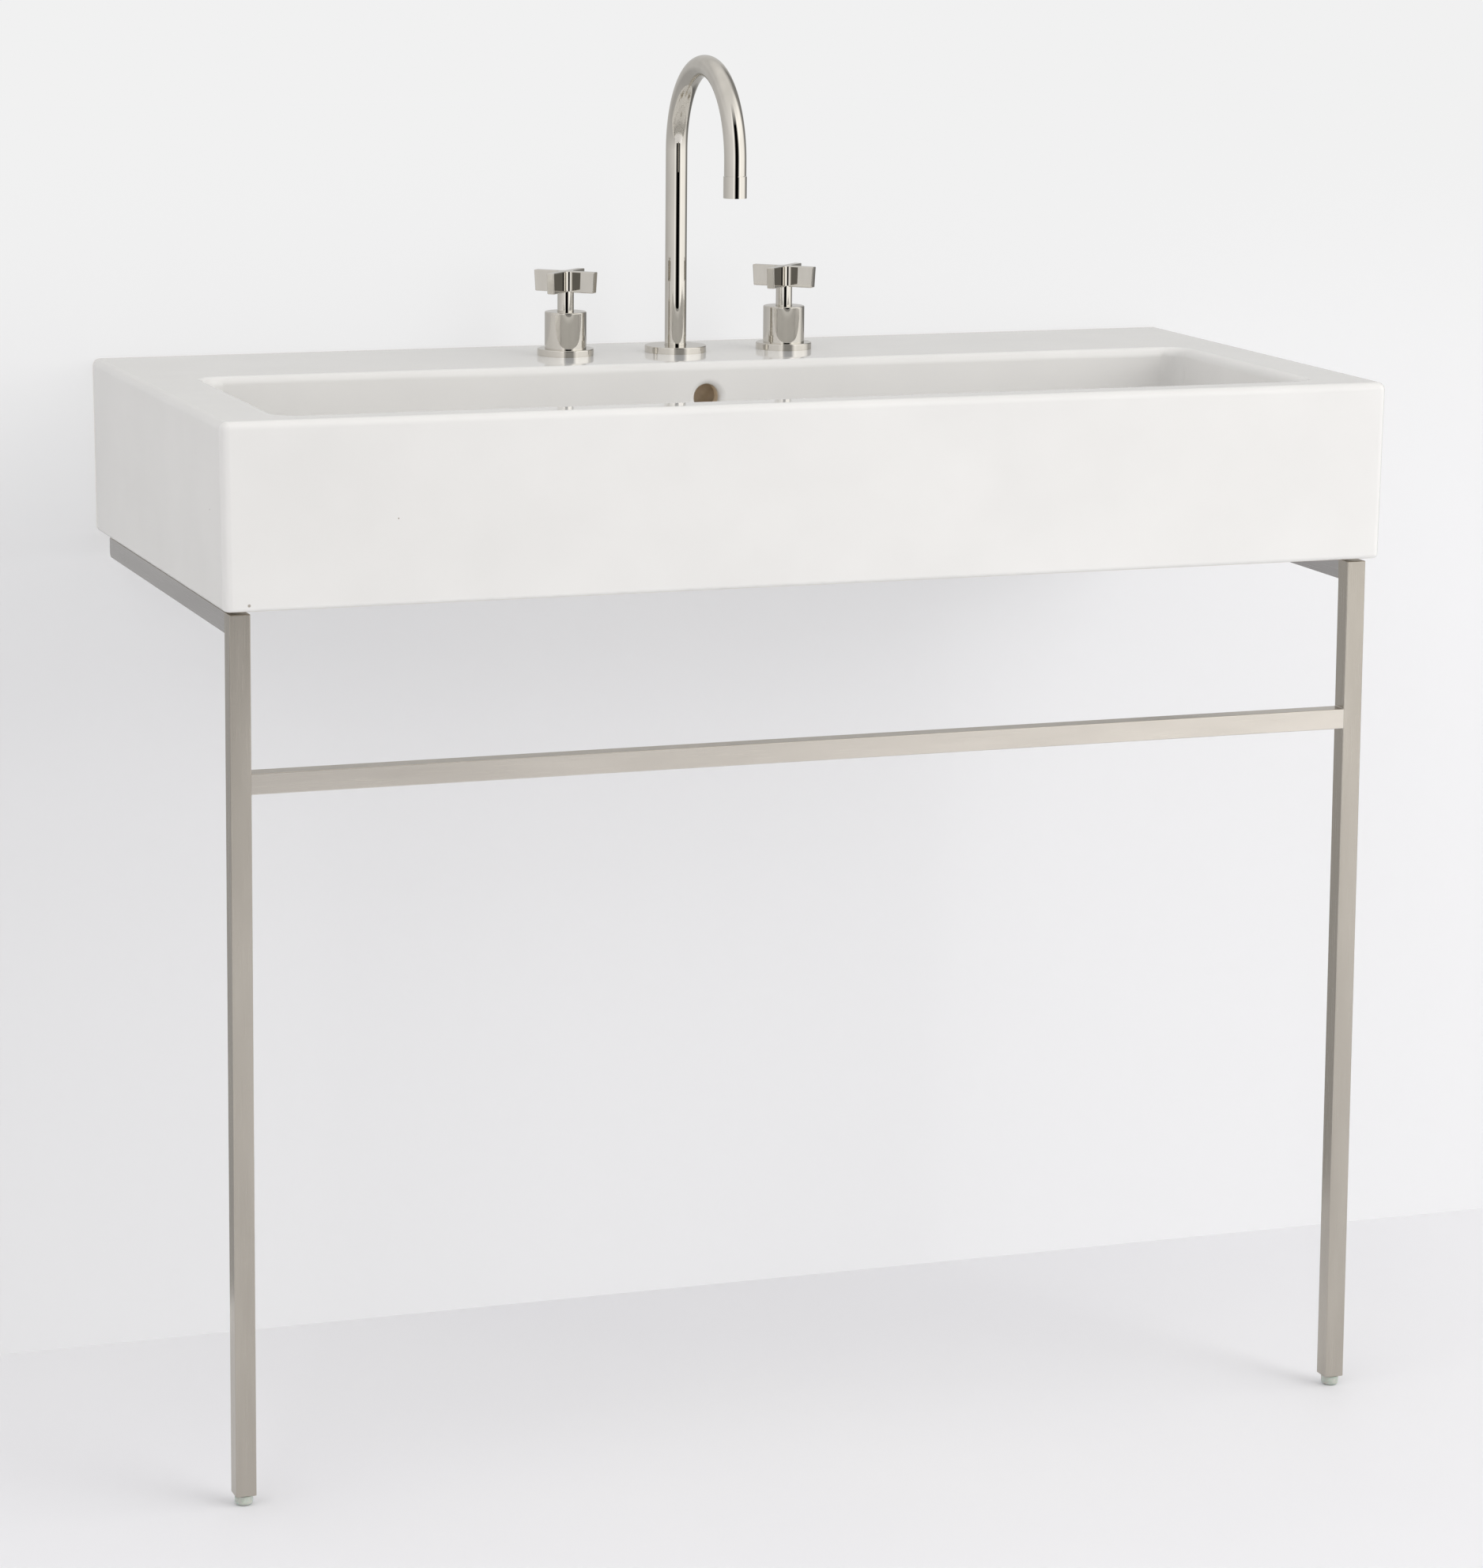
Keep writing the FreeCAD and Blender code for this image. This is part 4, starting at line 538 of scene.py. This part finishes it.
paint = floor_paint()
board("floor", NEAR_SIZE, (0, NEAR_Y, 0), 0, paint)
far_floor = board("far_floor", FAR_SIZE, (0, 0, FAR_Z), 0, paint)
far_floor.visible_glossy = False
wall = board("wall", WALL_SIZE, (0, WALL_Y + WALL_GAP, WALL_FOOT + WALL_SIZE / 2),
             math.radians(90), wall_paint())
wall.visible_glossy = False

# How bright the studio is all round, by the angle in degrees, anticlockwise seen from above. 0 is
# to the object's right and -90 straight in front. The dark gap is from -106 to -78, and the white
# softbox from -62 to -15.
ROOM_TONES = (
    (-180, 0.38), (-160, 0.42), (-132, 0.46), (-122, 0.61), (-113, 0.63), (-112.3, 0.12),
    (-106.7, 0.12), (-106, 0.0), (-78, 0.0), (-62, 0.80), (-48, 0.68), (-15, 0.68), (-2, 0.55),
    (12, 0.15), (42, 0.12), (58, 0.31), (84, 0.31), (98, 0.30), (127, 0.31), (180, 0.38))
# How that changes with height: -1 is straight down, 0 level and 1 straight up.
HEIGHT_TONES = ((-0.3, 0.75), (-0.05, 1.0), (0.25, 1.0), (0.4, 1.1), (0.65, 1.05), (1.0, 1.1))
# Green and blue as shares of red: faintly warm all round, and less so on the left, past 120.
GREEN, BLUE, BLUE_LEFT, LEFT_FROM = 0.99, 0.975, 0.99, 120
CEILING, CEILING_FROM, CEILING_TO = (0.45, 0.445, 0.44, 1), 0.6, 0.9
MIRRORED_LEVEL, LIGHT_LEVEL = 2.0, 2.75


def studio():
    """A pale studio, with a dark gap right of the camera and a white softbox beyond it."""
    world = bpy.data.worlds.new("pale_studio")
    bpy.context.scene.world = world
    world.use_nodes = True
    tree = world.node_tree
    tree.nodes.clear()
    towards = add(tree, "ShaderNodeTexCoord").outputs["Generated"]
    part = add(tree, "ShaderNodeSeparateXYZ", {"Vector": towards})
    turn = add(tree, "ShaderNodeMath", {
        0: part.outputs["Y"], 1: part.outputs["X"]}, operation="ARCTAN2")
    round_room = add(tree, "ShaderNodeMapRange", {
        "Value": turn, "From Min": -math.pi, "From Max": math.pi})
    ring = add(tree, "ShaderNodeValToRGB", {"Fac": round_room}, stops=[
        ((a + 180) / 360, (v, v * GREEN, v * (BLUE_LEFT if abs(a) > LEFT_FROM else BLUE), 1))
        for a, v in ROOM_TONES])
    height = add(tree, "ShaderNodeMapRange", {
        "Value": part.outputs["Z"], "From Min": -1.0, "From Max": 1.0})
    band = add(tree, "ShaderNodeValToRGB", {"Fac": height}, stops=[
        ((z + 1) / 2, (v, v, v, 1)) for z, v in HEIGHT_TONES])
    tone = add(tree, "ShaderNodeMix", {
        "Factor": 1.0, "A": ring, "B": band}, data_type="RGBA", blend_type="MULTIPLY")
    # Straight overhead the tones run together into one pale ceiling.
    overhead = add(tree, "ShaderNodeMapRange", {
        "Value": part.outputs["Z"], "From Min": CEILING_FROM, "From Max": CEILING_TO})
    tone = add(tree, "ShaderNodeMix", {
        "Factor": overhead, "A": tone.outputs["Result"], "B": CEILING}, data_type="RGBA")
    ray = add(tree, "ShaderNodeLightPath").outputs
    level = add(tree, "ShaderNodeMapRange", {
        "Value": ray["Is Glossy Ray"], "To Min": LIGHT_LEVEL, "To Max": MIRRORED_LEVEL})
    lit = add(tree, "ShaderNodeBackground", {"Color": tone.outputs["Result"], "Strength": level})
    seen = add(tree, "ShaderNodeBackground", {"Color": linear(BACKDROP)})
    add(tree, "ShaderNodeOutputWorld", {
        "Surface": add(tree, "ShaderNodeMixShader", {0: ray["Is Camera Ray"], 1: lit, 2: seen})})


KEY_AT, KEY_AIM, KEY_SIZE, KEY_WATTS = (3.0, -3.6, 1.3), (0, 0, 0.7), 2.0, 43


def key_light():
    """A square soft light at the front right, turned to the basin's underside and never mirrored."""
    data = bpy.data.lights.new("key", "AREA")
    data.shape = "SQUARE"
    data.size = KEY_SIZE
    data.energy = KEY_WATTS
    lamp = bpy.data.objects.new("key", data)
    bpy.context.scene.collection.objects.link(lamp)
    lamp.location = KEY_AT
    lamp.rotation_euler = (Vector(KEY_AIM) - Vector(KEY_AT)).to_track_quat("-Z", "Y").to_euler()
    lamp.visible_glossy = False


studio()
key_light()

# The photograph's camera: where it stands, how it is turned, its lens in millimetres, and its
# shift as a share of the picture's longer side.
CAMERA_AT = (-1.392801, -3.913440, 1.354928)
AZIMUTH, DOWN, ROLL = (math.radians(a) for a in (20.007, 8.760, 0.525))
LENS, SHIFT = 112.4506, (-0.016133, -0.140051)


def camera():
    """Stands left of the middle at chest height and looks slightly down."""
    ahead = Vector((math.sin(AZIMUTH) * math.cos(DOWN), math.cos(AZIMUTH) * math.cos(DOWN),
                    -math.sin(DOWN)))
    level = Vector((math.cos(AZIMUTH), -math.sin(AZIMUTH), 0))
    upright = level.cross(ahead)
    right = math.cos(ROLL) * level + math.sin(ROLL) * upright
    up = -math.sin(ROLL) * level + math.cos(ROLL) * upright
    data = bpy.data.cameras.new("camera")
    data.lens = LENS
    data.shift_x, data.shift_y = SHIFT
    data.clip_end = 100
    made = bpy.data.objects.new("camera", data)
    bpy.context.scene.collection.objects.link(made)
    turned = Matrix((right, up, -ahead)).transposed().to_4x4()
    made.matrix_world = Matrix.Translation(CAMERA_AT) @ turned
    bpy.context.scene.camera = made


camera()
bpy.context.scene.view_settings.view_transform = "Standard"
